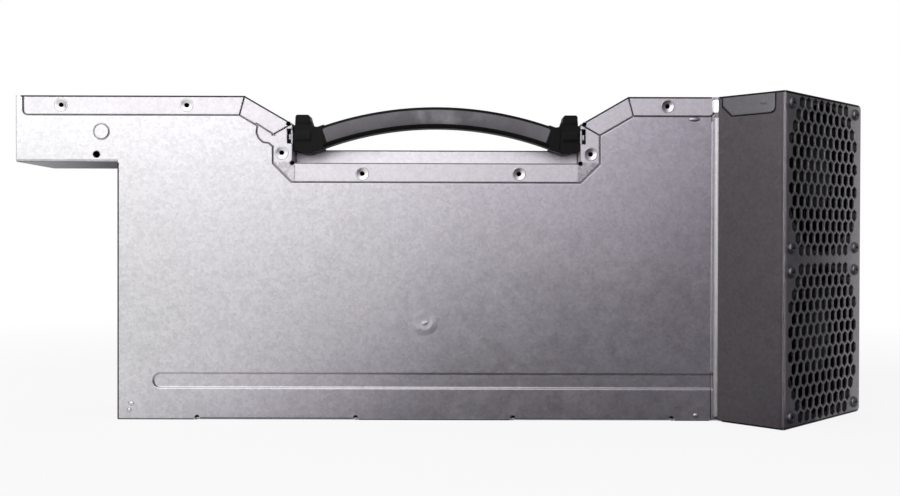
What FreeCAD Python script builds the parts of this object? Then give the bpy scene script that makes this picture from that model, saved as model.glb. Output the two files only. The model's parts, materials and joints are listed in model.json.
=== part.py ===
import FreeCAD, Part
import math
import os

# Driving dimensions, in millimetres and degrees

# Case
SHEET = 1.0
BODY_HEIGHT = 166.0
BODY_LENGTH = 307.0
ARM_LENGTH = 52.0
ARM_HEIGHT = 34.0
BEND_RADIUS = 1.4

# Fan box at the right end
FLARE_LENGTH = 37.5
FAN_BOX_TURN = 45.0
GRILLE_CORNER = 2.6

# Handle recess in the top edge
RECESS_START = 89.5
RECESS_WIDTH = 147.7
RECESS_DROP = 34.2
LEDGE_DEPTH = 12.5
LEDGE_RISE = 7.5
SLOPE_RUN = 24.4
SLOPE_DROP = 14.1

# Riveted flange round the top edge
FLANGE_WIDTH = 9.6
FLANGE_START = 4.0
FLANGE_END = 1.8
FLANGE_CORNER = 2.2
RECESS_CHAMFER = 9.8
SEAM = 0.7
LAP = 1.4
SLIT = 0.5
RELIEF_RADIUS = 1.15
RELIEF_INSET = 1.9
FLARE_SEAM = 2.5
FLARE_SEAM_GAP = 0.25
FLARE_LAP = 6.5
FLARE_TAB_START = 3.3
FLARE_TAB_END = 32.0
FLARE_TAB_DROP = 10.1
FLARE_TAB_SLOPE = 5.4
FLARE_TAB_CORNER = 2.4
RIVET_HEAD_RADIUS = 3.2
RIVET_SHANK_RADIUS = 1.7
RIVET_CORE_RADIUS = 1.15
RIVET_TAIL = 3.2
RIVET_SIDES = 8
FIT = 0.05

# Stamped marks of the front face
BEAD_HEIGHT = 20.1
BEAD_WIDTH = 6.6
BEAD_DEPTH = 0.9
BEAD_SLOPE = 0.8
BEAD_START = 18.6
BUTTON_INSET = 8.2
BUTTON_LIFT = 15.6
BUTTON_RADIUS = 3.6
BUTTON_RISE = 0.45
TAPPED_INSET = 10.8
TAPPED_LIFT = 3.9
TAPPED_RADIUS = 1.8
TAPPED_DEPTH = 3.0
HOOK_LENGTH = 81.4
HOOK_DEPTH = 12.0
HOOK_LEFT = 40.8
HOOK_RIGHT = 203.0
NOTCH_RADIUS = 1.25
VALLEY_NOTCH_WIDTH = 6.4
VALLEY_NOTCH_HEIGHT = 1.9

# Exhaust slots of the left wall
VENT_WIDTH = 3.6
VENT_LENGTH = 26.0
VENT_PITCH = 7.4
VENT_ROW_PITCH = 34.0
VENT_COLUMNS = 4
VENT_ROWS = 3

# Handle
PIVOT_SETBACK = 7.0
PIVOT_RISE = 6.2
END_GAP = 0.4
END_LENGTH = 15.5
END_DEPTH = 10.4
BARREL_RADIUS = 6.0
BARREL_LENGTH = 8.6
COLLAR_START = 9.36
COLLAR_PROUD = 0.2
STRAP_RADIUS = 174.5
STRAP_HEIGHT = 10.8
STRAP_WIDTH = 11.0
STRAP_EDGE = 1.6
STRAP_ROOT = 0.1
PIN_RADIUS = 1.9
PIN_HEAD_RADIUS = 3.4
PIN_NOTCH_WIDTH = 1.6
PIN_NOTCH_HEIGHT = 7.5

# Honeycomb and fans
HEX_WEB = 1.05
HEX_ROWS = 13
HEX_WIDEST = 11
GRILLE_MARGIN = 2.65
GRILLE_BORDER = 3.6
FAN_DEPTH = 25.0
FAN_END_GAP = 0.3
FAN_SPACE = 3.4
FAN_BACK_GAP = 0.69
FAN_HOLE_INSET = 4.25
FAN_DUCT_WALL = 1.6
FAN_FLANGE = 4.0
FAN_CORNER = 4.0
FAN_BASE = 3.0
SPOKE_WIDTH = 3.2
POST_RADIUS = 4.4
SLEEVE_RADIUS = 3.0
SCREW_SIDES = 6
DUCT_SIDES = 32
HUB_SIDES = 24
HUB_SHARE = 0.425
HUB_WALL = 1.4
BLADE_COUNT = 7
BLADE_TIP_GAP = 0.9
BLADE_THICKNESS = 1.5
BLADE_STEPS = 3
BLADE_PITCH = 42.0
FAN_SHAFT_RADIUS = 1.5
FAN_SCREW_RADIUS = 2.0
FAN_SCREW_HEAD = 3.0

# Mains inlet
INLET_SETBACK = 3.0
INLET_FACE_LENGTH = 30.6
INLET_FACE_HEIGHT = 23.4
INLET_BODY_LENGTH = 27.4
INLET_BODY_HEIGHT = 20.2
INLET_MOUTH_LENGTH = 24.4
INLET_MOUTH_HEIGHT = 16.8
INLET_MOUTH_DEPTH = 17.0
INLET_BODY_DEPTH = 22.0
LEAD_WIDTH = 2.0

# Main board and its parts
STANDOFF_HEIGHT = 6.0
STANDOFF_RADIUS = 3.0
BOARD_THICKNESS = 1.6
BOARD_SCREW_RADIUS = 1.5
BOARD_LEFT = 8.0
BOARD_RIGHT = 24.0
BOARD_BASE = 12.0
BOARD_DROP = 11.8
FILM_THICKNESS = 0.4
BOARD_COLUMNS = 275.0
BOARD_ROWS = 108.0
BOARD_LAYERS = 43.4
CONNECTOR_START = 122.0
CONNECTOR_LENGTH = 65.0
CONNECTOR_WIDTH = 17.0
CONNECTOR_HEIGHT = 15.0
CONNECTOR_SLOTS = 8
BULK_RADIUS = 15.0
BULK_HEIGHT = 36.0
SINK_HEIGHT = 30.0
SINK_PLATE = 3.0
FIN_WIDTH = 1.6

V = FreeCAD.Vector

# Derived positions: X along the body, Y to the back, Z up, origin under the middle
TURN = math.radians(FAN_BOX_TURN)
ALONG = V(math.cos(TURN), math.sin(TURN), 0)
OUTWARD = V(math.sin(TURN), -math.cos(TURN), 0)
FAN_SIZE = (BODY_HEIGHT - 2 * SHEET - 2 * FAN_END_GAP - FAN_SPACE) / 2
FAN_PITCH = FAN_SIZE + FAN_SPACE
FAN_HOLE_PITCH = FAN_SIZE - 2 * FAN_HOLE_INSET
FAN_DUCT_RADIUS = FAN_SIZE / 2 - FAN_DUCT_WALL
HUB_RADIUS = FAN_SIZE / 2 * HUB_SHARE
BLADE_CHORD = FAN_DEPTH - FAN_BASE - 1.0
GRILLE_WIDTH = FAN_SIZE + 2 * GRILLE_MARGIN
HEX_PITCH = (GRILLE_WIDTH - 2 * GRILLE_BORDER) / HEX_WIDEST
HEX_FLATS = HEX_PITCH - HEX_WEB
FAN_REACH = (GRILLE_WIDTH + FAN_SIZE) / 2 * ALONG.y - (SHEET + FAN_DEPTH) * OUTWARD.y
LENGTH = ARM_LENGTH + BODY_LENGTH + FLARE_LENGTH * OUTWARD.x + GRILLE_WIDTH * ALONG.x
DEPTH = FAN_REACH + FAN_BACK_GAP + SHEET
BODY_DEPTH = DEPTH + FLARE_LENGTH * OUTWARD.y
X_ARM = -LENGTH / 2
X_WALL = X_ARM + ARM_LENGTH
X_BEND = X_WALL + BODY_LENGTH
Y_BACK = DEPTH / 2
Y_FACE = Y_BACK - BODY_DEPTH
Z_TOP = BODY_HEIGHT
Z_ARM = Z_TOP - ARM_HEIGHT
X_RECESS_A = X_WALL + RECESS_START
X_RECESS_B = X_RECESS_A + RECESS_WIDTH
Z_LEDGE = Z_TOP - RECESS_DROP
Z_FLOOR = Z_LEDGE + LEDGE_RISE
Z_SHOULDER = Z_TOP - SLOPE_DROP
APEX = V(X_BEND, Y_FACE, 0) + OUTWARD * FLARE_LENGTH
FAR = APEX + ALONG * GRILLE_WIDTH
RETURN_LENGTH = (Y_BACK - FAR.y) / -OUTWARD.y
LAST = FAR - OUTWARD * RETURN_LENGTH
PLAN = [(X_WALL, Y_FACE), (X_BEND, Y_FACE), (APEX.x, APEX.y), (FAR.x, FAR.y),
        (LAST.x, LAST.y), (X_WALL, Y_BACK)]
BOARD_REAR = Y_BACK - SHEET - STANDOFF_HEIGHT
BOARD_FRONT = BOARD_REAR - BOARD_THICKNESS
BOARD_TOP = Z_LEDGE - BOARD_DROP
COLUMN = (BODY_LENGTH - BOARD_LEFT - BOARD_RIGHT) / BOARD_COLUMNS
ROW = (BOARD_TOP - BOARD_BASE) / BOARD_ROWS
LAYER = (BOARD_FRONT - Y_FACE) / BOARD_LAYERS
CELL = min(COLUMN, ROW)
Y_PIVOT = Y_FACE + PIVOT_SETBACK
Z_PIVOT = Z_FLOOR + PIVOT_RISE
X_SEAM = X_BEND - FLARE_SEAM
X_MIDDLE = (X_RECESS_A + X_RECESS_B) / 2


def block(x0, x1, y0, y1, z0, z1):
    return Part.makeBox(x1 - x0, y1 - y0, z1 - z0, V(x0, y0, z0))


def prism(points, axis, low, high):
    # Outline in the two other axes, taken in X, Y, Z order
    if axis == "x":
        corners = [V(low, a, b) for a, b in points]
        reach = V(high - low, 0, 0)
    elif axis == "y":
        corners = [V(a, low, b) for a, b in points]
        reach = V(0, high - low, 0)
    else:
        corners = [V(a, b, low) for a, b in points]
        reach = V(0, 0, high - low)
    return Part.Face(Part.makePolygon(corners + corners[:1])).extrude(reach)


def rod(axis, a, b, radius, low, high):
    if axis == "x":
        return Part.makeCylinder(radius, high - low, V(low, a, b), V(1, 0, 0))
    if axis == "y":
        return Part.makeCylinder(radius, high - low, V(a, low, b), V(0, 1, 0))
    return Part.makeCylinder(radius, high - low, V(a, b, low), V(0, 0, 1))


def polygon(x, z, radius, sides):
    points = []
    for k in range(sides):
        angle = 2 * math.pi * (k + 0.5) / sides
        points.append((x + radius * math.cos(angle), z + radius * math.sin(angle)))
    return points


def bar(x, z, radius, low, high, sides):
    # Straight bar along Y with a regular section
    return prism(polygon(x, z, radius, sides), "y", low, high)


def ring(x, z, outer, inner, low, high, sides):
    return bar(x, z, outer, low, high, sides).cut(bar(x, z, inner, low - 1, high + 1, sides))


def stepped(profile, x, y, z, sides):
    # Stack of tapered bars along Y through radius and height pairs
    stages = []
    for (r0, h0), (r1, h1) in zip(profile, profile[1:]):
        if h1 > h0:
            wires = []
            for r, h in ((r0, h0), (r1, h1)):
                corners = [V(a, y + h, b) for a, b in polygon(x, z, r, sides)]
                wires.append(Part.makePolygon(corners + corners[:1]))
            stages.append(Part.makeLoft(wires, True, True))
    return union(stages) if len(stages) > 1 else stages[0]


def union(shapes):
    return shapes[0].multiFuse(shapes[1:]).removeSplitter()


def less(shape, tools):
    return shape.cut(Part.makeCompound(tools))


def group(shapes):
    return Part.makeCompound(shapes)


def on_line(edge, x=None, y=None, z=None):
    for vertex in edge.Vertexes:
        point = vertex.Point
        for want, have in ((x, point.x), (y, point.y), (z, point.z)):
            if want is not None and abs(want - have) > 1e-4:
                return False
    return True


def rounded(shape, radius, lines):
    # Each line is given by the two coordinates its edges keep
    edges = []
    for line in lines:
        edges += [edge for edge in shape.Edges if on_line(edge, **line)]
    return shape.makeFillet(radius, edges)


def crossing(p, d, q, e):
    scale = d[0] * e[1] - d[1] * e[0]
    s = ((q[0] - p[0]) * e[1] - (q[1] - p[1]) * e[0]) / scale
    return (p[0] + s * d[0], p[1] + s * d[1])


def side_line(p, q, distance):
    # Line through p and q moved to its right-hand side
    dx = q[0] - p[0]
    dz = q[1] - p[1]
    size = math.hypot(dx, dz)
    shift = (dz / size * distance, -dx / size * distance)
    return (p[0] + shift[0], p[1] + shift[1]), (dx, dz), (q[0] + shift[0], q[1] + shift[1])


def offset_path(points, distance):
    lines = [side_line(points[i], points[i + 1], distance) for i in range(len(points) - 1)]
    result = [lines[0][0]]
    for first, second in zip(lines, lines[1:]):
        result.append(crossing(first[0], first[1], second[0], second[1]))
    return result + [lines[-1][2]]


def inset(points, distances):
    count = len(points)
    lines = [side_line(points[i], points[(i + 1) % count], -distances[i]) for i in range(count)]
    return [crossing(lines[i - 1][0], lines[i - 1][1], lines[i][0], lines[i][1]) for i in range(count)]


def in_fan_box(shape):
    # Local frame: X along the grille, Y inward from its face, Z up
    placed = shape.copy()
    placed.Placement = FreeCAD.Placement(APEX, FreeCAD.Rotation(V(0, 0, 1), FAN_BOX_TURN))
    return placed


def top_path(floor):
    return [(X_ARM, Z_TOP), (X_RECESS_A - SLOPE_RUN, Z_TOP), (X_RECESS_A, Z_SHOULDER),
            (X_RECESS_A, floor), (X_RECESS_B, floor), (X_RECESS_B, Z_SHOULDER),
            (X_RECESS_B + SLOPE_RUN, Z_TOP), (X_BEND, Z_TOP)]


def band(floor, start, end, near, far, chamfer):
    # Strip along the top edge between two distances below it
    path = top_path(floor)
    upper = offset_path(path, near)
    lower = offset_path(path, far)
    upper[0] = (start, upper[0][1])
    upper[-1] = (end, upper[-1][1])
    lower[0] = (start, lower[0][1])
    lower[-1] = (end, lower[-1][1])
    left = lower[3]
    right = lower[4]
    cut_left = [(left[0], left[1] + chamfer), (left[0] + chamfer, left[1])]
    cut_right = [(right[0] - chamfer, right[1]), (right[0], right[1] + chamfer)]
    lower = lower[:3] + cut_left + cut_right + lower[5:]
    return upper + lower[::-1]


def slit(p, q, low, high):
    dx = q[0] - p[0]
    dz = q[1] - p[1]
    size = math.hypot(dx, dz)
    side = (-dz / size * SLIT / 2, dx / size * SLIT / 2)
    ends = [(p[0] - dx / size, p[1] - dz / size), (q[0] + dx / size, q[1] + dz / size)]
    corners = [(ends[0][0] + side[0], ends[0][1] + side[1]), (ends[1][0] + side[0], ends[1][1] + side[1]),
               (ends[1][0] - side[0], ends[1][1] - side[1]), (ends[0][0] - side[0], ends[0][1] - side[1])]
    return prism(corners, "y", low, high)


def rivet_spots(floor):
    middle = FLANGE_WIDTH / 2
    return [(X_ARM + 23.0, Z_TOP - middle), (X_ARM + 87.4, Z_TOP - middle),
            (X_RECESS_A - middle - 0.6, floor + 5.2), (X_RECESS_A + 35.9, floor - middle - 0.6),
            (X_RECESS_B - 31.5, floor - middle - 0.6), (X_RECESS_B + middle + 0.4, floor + 4.8),
            (X_RECESS_B + SLOPE_RUN + 20.1, Z_TOP - middle)]


def countersink(x, z):
    slope = (RIVET_HEAD_RADIUS - RIVET_SHANK_RADIUS) / SHEET
    grow = RIVET_HEAD_RADIUS + FIT
    neck = RIVET_SHANK_RADIUS + FIT
    profile = [(grow + slope, -1), (grow, 0), (neck, SHEET), (neck, SHEET * 3)]
    return stepped(profile, x, Y_FACE, z, RIVET_SIDES)


def rivet(x, z):
    grip = SHEET * 2 + FIT
    tail = RIVET_SHANK_RADIUS * 1.45
    profile = [(RIVET_HEAD_RADIUS, 0), (RIVET_SHANK_RADIUS, SHEET), (RIVET_SHANK_RADIUS, grip),
               (tail, grip), (tail, grip + RIVET_TAIL)]
    core = bar(x, z, RIVET_CORE_RADIUS, Y_FACE - 1, Y_FACE + grip, RIVET_SIDES)
    return stepped(profile, x, Y_FACE, z, RIVET_SIDES).cut(core)


def flare_tab_outline(grow):
    # In the flare's plane: local Y from the grille's face, Z up
    near = FLARE_LENGTH - FLARE_TAB_END - grow
    far = FLARE_LENGTH - FLARE_TAB_START + grow
    low = Z_TOP - FLARE_TAB_DROP - grow
    top = Z_TOP - SHEET / 2
    turn = FLARE_TAB_CORNER
    return [(near, top), (near, low + turn), (near + turn * 0.3, low + turn * 0.3), (near + turn, low),
            (far - FLARE_TAB_SLOPE, low), (far, low + FLARE_TAB_SLOPE), (far, top)]


def bead_outline(grow):
    # Round left end, square end at the bend
    half = BEAD_WIDTH / 2 + grow
    start = X_WALL + BEAD_START + BEAD_WIDTH / 2
    points = [(X_BEND, BEAD_HEIGHT + half)]
    for k in range(9):
        angle = math.pi / 2 + math.pi * k / 8
        points.append((start + half * math.cos(angle), BEAD_HEIGHT + half * math.sin(angle)))
    return points + [(X_BEND, BEAD_HEIGHT - half)]


def bead_groove():
    wires = []
    for grow, y in ((BEAD_SLOPE * 2, Y_FACE - BEAD_DEPTH), (0, Y_FACE + BEAD_DEPTH)):
        corners = [V(x, y, z) for x, z in bead_outline(grow)]
        wires.append(Part.makePolygon(corners + corners[:1]))
    return Part.makeLoft(wires, True, True)


# Edge of the flange's ear from its top to the upright flange: offsets from the recess's lower left corner
EAR_EDGE = [(-17.8, 19.8), (-18.3, 15.2), (-17.2, 12.6), (-14.9, 10.4), (-11.9, 10.0), (-10.4, 8.6)]


def ear(grow, low, high):
    edge = offset_path([(X_RECESS_A + x, Z_LEDGE + z) for x, z in EAR_EDGE], grow)
    root = X_RECESS_A - FLANGE_WIDTH / 2
    return prism(edge + [(root, edge[-1][1]), (root, edge[0][1])], "y", low, high)


def relief_spots():
    path = top_path(Z_LEDGE)
    left = path[2]
    right = path[5]
    return [(left[0] - RELIEF_INSET, left[1]), path[3], path[4], (right[0] + RELIEF_INSET, right[1])]


def hooks():
    return [(X_WALL + HOOK_LEFT, X_WALL + HOOK_LEFT + HOOK_LENGTH),
            (X_WALL + HOOK_RIGHT, X_WALL + HOOK_RIGHT + HOOK_LENGTH)]


def cover_sheet():
    outline = top_path(Z_LEDGE) + [(X_BEND, 0), (X_WALL, 0), (X_WALL, Z_ARM), (X_ARM, Z_ARM)]
    face = prism(outline, "y", Y_FACE, Y_FACE + SHEET)
    start = X_ARM + FLANGE_START - SEAM
    end = X_BEND - FLANGE_END + SEAM
    drop = FLANGE_WIDTH + SEAM
    pocket = prism(band(Z_LEDGE, start, end, -2, drop, RECESS_CHAMFER), "y", Y_FACE - 1, Y_FACE + SHEET)
    pocket = rounded(pocket, FLANGE_CORNER + SEAM, [{"x": x, "z": Z_TOP - drop} for x in (start, end)])
    low = Y_FACE - 1
    seat = Y_FACE + SHEET
    under_roof = block(end - 1, X_BEND + 1, low, seat, Z_TOP - SHEET, Z_TOP + 1)
    face = less(face, [pocket, ear(SEAM / 2, low, seat), under_roof])

    inner = inset(PLAN, [SHEET, SHEET, SHEET, 0, 0, 0])
    outer = inset(PLAN, [0, 0, SHEET, 0, 0, 0])
    sheet = [(end, Y_FACE), outer[1], outer[2], inner[2], inner[1], (end, seat)]
    flare = prism(sheet, "z", 0, Z_TOP - SHEET)
    flare = flare.cut(in_fan_box(prism(flare_tab_outline(SEAM), "x", -1, SHEET)))
    lip = Z_ARM + BEND_RADIUS * 2
    arm_base = block(X_ARM, X_WALL, Y_FACE, Y_BACK - SHEET, Z_ARM, Z_ARM + SHEET)
    arm_base = arm_base.fuse(block(X_ARM, X_WALL, Y_FACE, seat, Z_ARM, lip)).removeSplitter()
    arm_base = rounded(arm_base, BEND_RADIUS, [{"y": Y_FACE, "z": Z_ARM}])
    arm_tail = block(X_WALL, X_WALL + SHEET, seat, Y_BACK - SHEET, Z_ARM, Z_ARM + SHEET)
    face = face.cut(block(X_ARM - 1, X_WALL, low, seat, Z_ARM - 1, lip))
    cover = rounded(union([face, flare]), BEND_RADIUS, [{"x": X_BEND, "y": Y_FACE}])
    cover = union([cover, arm_base, arm_tail])

    under = band(Z_LEDGE, start - LAP, X_BEND, SHEET + 0.3, drop + LAP, RECESS_CHAMFER)
    shelf = prism(under, "y", seat, seat + SHEET)
    backing = [shelf, ear(SEAM / 2 + LAP, seat, seat + SHEET),
               prism(bead_outline(BEAD_SLOPE + SHEET), "y", seat, Y_FACE + BEAD_DEPTH + SHEET)]
    tab_back = flare_tab_outline(SEAM + LAP)
    shelf_cap = block(-5, 5, -50, 50, Z_TOP - SHEET, Z_TOP + 5)
    backing.append(in_fan_box(prism(tab_back, "x", SHEET, SHEET * 2).cut(shelf_cap)))
    for x0, x1 in hooks():
        cover = cover.cut(block(x0, x1, low, seat, -1, SHEET))
        hook = block(x0 + NOTCH_RADIUS, x1 - NOTCH_RADIUS, Y_FACE, Y_FACE + HOOK_DEPTH, SHEET, SHEET * 2)
        backing.append(rounded(hook, BEND_RADIUS * 0.6, [{"y": Y_FACE, "z": SHEET}]))
    tapped = (X_WALL - TAPPED_INSET, Z_ARM + TAPPED_LIFT)
    button = (X_WALL - BUTTON_INSET, Z_ARM + BUTTON_LIFT)
    backing.append(rod("y", tapped[0], tapped[1], TAPPED_RADIUS + 1.1, seat, Y_FACE + TAPPED_DEPTH))
    backing.append(rod("y", button[0], button[1], BUTTON_RADIUS, Y_FACE - BUTTON_RISE, Y_FACE + SHEET / 2))
    cover = union([cover] + backing)

    cuts = [bead_groove(), valley_notch()]
    cuts.append(rod("y", tapped[0], tapped[1], TAPPED_RADIUS, low - 1, seat + 9))
    hollow = BUTTON_RADIUS - SHEET * 0.6
    cuts.append(bar(button[0], button[1], hollow, Y_FACE + SHEET - BUTTON_RISE, seat + 1, 12))
    for x0, x1 in hooks():
        for x in (x0, x1):
            cuts.append(bar(x, SHEET * 1.2, NOTCH_RADIUS, low, seat, 8))
    for x, z in rivet_spots(Z_LEDGE):
        cuts.append(bar(x, z, RIVET_SHANK_RADIUS + FIT, low, seat + SHEET + 1, RIVET_SIDES))
    for x, z in relief_spots():
        cuts.append(bar(x, z, RELIEF_RADIUS, low, seat + SHEET + 1, 8))
    gap = PIN_HEAD_RADIUS + 1.6
    for x0, x1 in ((X_RECESS_A - 6.5, X_RECESS_A), (X_RECESS_B, X_RECESS_B + 6.5)):
        cuts.append(block(x0, x1, low, seat + SHEET + 1, Z_PIVOT - gap, Z_PIVOT + gap))
    return less(cover, cuts)


def front_cover():
    beyond = block(X_SEAM - FLARE_SEAM_GAP / 2, FAR.x, APEX.y - 1, Y_BACK, -1, Z_TOP + 1)
    return COVER_SHEET.cut(beyond)


def flare_panel():
    # Flared side of the cover with a lap behind the front face
    inside = block(X_SEAM + FLARE_SEAM_GAP / 2, FAR.x, APEX.y - 1, Y_BACK, -1, Z_TOP + 1)
    seat = Y_FACE + SHEET
    low = BEAD_HEIGHT + BEAD_WIDTH
    high = Z_TOP - 2 * FLANGE_WIDTH
    lap = block(X_SEAM - FLARE_LAP, X_BEND - SHEET, seat, seat + SHEET, low, high)
    return union([COVER_SHEET.common(inside), lap])


def valley_notch():
    half = VALLEY_NOTCH_WIDTH / 2
    top = VALLEY_NOTCH_HEIGHT
    outline = [(-half, -1), (-half * 0.9, top * 0.15), (-half * 0.45, top * 0.7), (0, top),
               (half * 0.45, top * 0.7), (half * 0.9, top * 0.15), (half, -1)]
    return prism([(X_BEND + x, z) for x, z in outline], "y", Y_FACE - VALLEY_NOTCH_WIDTH, Y_FACE + SHEET)


def top_channel():
    rear = Y_BACK - SHEET
    riser = Y_FACE + LEDGE_DEPTH

    def strip(floor, y0, y1):
        path = top_path(floor)
        return prism(path + offset_path(path, SHEET)[::-1], "y", y0, y1)

    step = block(X_RECESS_A - SHEET, X_RECESS_B + SHEET, riser, riser + SHEET, Z_LEDGE - SHEET, Z_FLOOR)
    roof_plan = [(X_RECESS_B + SLOPE_RUN, Y_FACE)] + PLAN[1:5] + [(X_RECESS_B + SLOPE_RUN, Y_BACK)]
    roof = prism(inset(roof_plan, [0, 0, SHEET, SHEET, SHEET, 0]), "z", Z_TOP - SHEET, Z_TOP)
    start = X_ARM + FLANGE_START
    end = X_BEND - FLANGE_END
    seat = Y_FACE + SHEET
    front = prism(band(Z_LEDGE, start, end, 0, FLANGE_WIDTH, RECESS_CHAMFER), "y", Y_FACE, seat)
    front = rounded(front, FLANGE_CORNER, [{"x": x, "z": Z_TOP - FLANGE_WIDTH} for x in (start, end)])
    front = front.fuse(ear(-SEAM / 2, Y_FACE, seat))
    back = prism(band(Z_FLOOR, start, end, 0, FLANGE_WIDTH, SHEET), "y", rear - SHEET, rear)
    tab = in_fan_box(prism(flare_tab_outline(0), "x", 0, SHEET))
    ledge = strip(Z_LEDGE, Y_FACE, riser + SHEET)
    floor = strip(Z_FLOOR, riser, rear)
    channel = union([ledge, floor, step, roof, front, back, tab])

    path = top_path(Z_LEDGE)
    inner = offset_path(path, FLANGE_WIDTH)
    low = Y_FACE - 1
    cuts = [block(X_ARM - 1, start, low, seat, 0, Z_TOP + 1)]
    for i in (1, 2, 5, 6):
        cuts.append(slit(path[i], inner[i], low, seat))
    cuts.append(slit((X_RECESS_A + EAR_EDGE[0][0], Z_LEDGE + EAR_EDGE[0][1]), inner[2], low, seat))
    for x, z in relief_spots():
        cuts.append(bar(x, z, RELIEF_RADIUS, low, seat + SHEET, 8))
    for x, z in rivet_spots(Z_LEDGE):
        cuts.append(countersink(x, z))
    high = Z_PIVOT + PIN_NOTCH_HEIGHT / 2
    base = Z_PIVOT - PIN_NOTCH_HEIGHT / 2
    reach = SHEET + PIN_NOTCH_WIDTH
    cuts.append(block(X_RECESS_A - reach, X_RECESS_A + 1, low, seat + SHEET, base, high))
    cuts.append(block(X_RECESS_B - 1, X_RECESS_B + reach, low, seat + SHEET, base, high))
    for x in (X_RECESS_A, X_RECESS_B):
        cuts.append(rod("x", Y_PIVOT, Z_PIVOT, PIN_RADIUS + FIT, x - 4, x + 4))
    return less(channel, cuts)


def rear_tray():
    path = top_path(Z_FLOOR)
    outline = path[:-1] + [(LAST.x, Z_TOP), (LAST.x, 0), (X_WALL, 0), (X_WALL, Z_ARM), (X_ARM, Z_ARM)]
    back = prism(outline, "y", Y_BACK - SHEET, Y_BACK)
    base = prism(inset(PLAN, [SHEET, SHEET, SHEET, 0, 0, 0]), "z", 0, SHEET)
    wall = block(X_WALL, X_WALL + SHEET, Y_FACE + SHEET, Y_BACK, 0, Z_ARM)
    outer = inset(PLAN, [0, 0, SHEET, 0, 0, 0])
    inner = inset(PLAN, [0, 0, SHEET, SHEET, SHEET, 0])
    side = prism([outer[3], outer[4], inner[4], inner[3]], "z", 0, Z_TOP)
    tray = union([back, base, wall, side])
    tray = rounded(tray, BEND_RADIUS, [{"y": Y_BACK, "z": 0}])
    cuts = []
    middle = (Y_FACE + Y_BACK) / 2
    half = VENT_WIDTH / 2
    for row in range(VENT_ROWS):
        z = Z_ARM / 2 + (row - (VENT_ROWS - 1) / 2) * VENT_ROW_PITCH
        for column in range(VENT_COLUMNS):
            y = middle + (column - (VENT_COLUMNS - 1) / 2) * VENT_PITCH
            slot = [(y - half, z - VENT_LENGTH / 2 + half), (y, z - VENT_LENGTH / 2),
                    (y + half, z - VENT_LENGTH / 2 + half), (y + half, z + VENT_LENGTH / 2 - half),
                    (y, z + VENT_LENGTH / 2), (y - half, z + VENT_LENGTH / 2 - half)]
            cuts.append(prism(slot, "x", X_WALL - 1, X_WALL + SHEET + 1))
    x0 = at_x(CONNECTOR_START) - 0.3
    cuts.append(block(x0, x0 + CONNECTOR_LENGTH + 0.6, BOARD_FRONT - CONNECTOR_WIDTH - 0.3, BOARD_FRONT + 0.3,
                      -1, SHEET + 1))
    return less(tray, cuts)


def inlet_panel():
    x0 = X_ARM + INLET_SETBACK
    y0 = Y_FACE + SHEET
    y1 = Y_BACK - SHEET
    plate = block(x0, x0 + SHEET, y0, y1, Z_ARM + SHEET, Z_TOP - SHEET)
    rear_lip = block(x0, x0 + 11, y1 - SHEET, y1, Z_ARM + SHEET * 2, Z_TOP - FLANGE_WIDTH - SHEET)
    lap_edge = Z_TOP - FLANGE_WIDTH - SEAM - LAP
    front_lip = block(x0, x0 + 11, y0, y0 + SHEET, Z_ARM + SHEET * 2, lap_edge - SHEET)
    panel = union([plate, rear_lip, front_lip])
    corner = block(x0 - 1, x0 + SHEET + 1, y0 - 1, y0 + SHEET + 0.4, lap_edge - 0.4, Z_TOP)
    rear_corner = block(x0 - 1, x0 + SHEET + 1, y1 - SHEET - 0.4, y1 + 1, Z_TOP - FLANGE_WIDTH - 0.4, Z_TOP)
    y, z = inlet_centre()
    grow = 0.15
    hole = block(x0 - 1, x0 + SHEET + 1, y - INLET_BODY_LENGTH / 2 - grow, y + INLET_BODY_LENGTH / 2 + grow,
                 z - INLET_BODY_HEIGHT / 2 - grow, z + INLET_BODY_HEIGHT / 2 + grow)
    return less(panel, [corner, rear_corner, hole])


def inlet_centre():
    return (Y_FACE + Y_BACK) / 2, (Z_ARM + Z_TOP) / 2


def inlet_housing():
    y, z = inlet_centre()
    x0 = X_ARM + INLET_SETBACK
    face = block(x0 - 2.4, x0, y - INLET_FACE_LENGTH / 2, y + INLET_FACE_LENGTH / 2,
                 z - INLET_FACE_HEIGHT / 2, z + INLET_FACE_HEIGHT / 2)
    body = block(x0, x0 + INLET_BODY_DEPTH, y - INLET_BODY_LENGTH / 2, y + INLET_BODY_LENGTH / 2,
                 z - INLET_BODY_HEIGHT / 2, z + INLET_BODY_HEIGHT / 2)
    housing = union([face, body])
    a = INLET_MOUTH_LENGTH / 2
    b = INLET_MOUTH_HEIGHT / 2
    mouth = [(y - a, z - b), (y + a, z - b), (y + a, z + b - 4.6), (y + a - 4.6, z + b),
             (y - a + 4.6, z + b), (y - a, z + b - 4.6)]
    cuts = [prism(mouth, "x", x0 - 3, x0 - 2.4 + INLET_MOUTH_DEPTH)]
    for dy, dz in inlet_pin_spots():
        a, b = y + dy, z + dz
        cuts.append(block(x0 + 5, x0 + INLET_BODY_DEPTH + 1, a - 1.05, a + 1.05, b - 2.05, b + 2.05))
    return less(housing, cuts)


def inlet_pin_spots():
    return [(-7.0, -2.0), (0.0, 2.0), (7.0, -2.0)]


def inlet_pins():
    y, z = inlet_centre()
    x0 = X_ARM + INLET_SETBACK
    pins = []
    for dy, dz in inlet_pin_spots():
        a, b = y + dy, z + dz
        pins.append(block(x0 - 1.0, x0 + INLET_BODY_DEPTH + 8, a - 1, a + 1, b - 2, b + 2))
    return group(pins)


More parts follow.
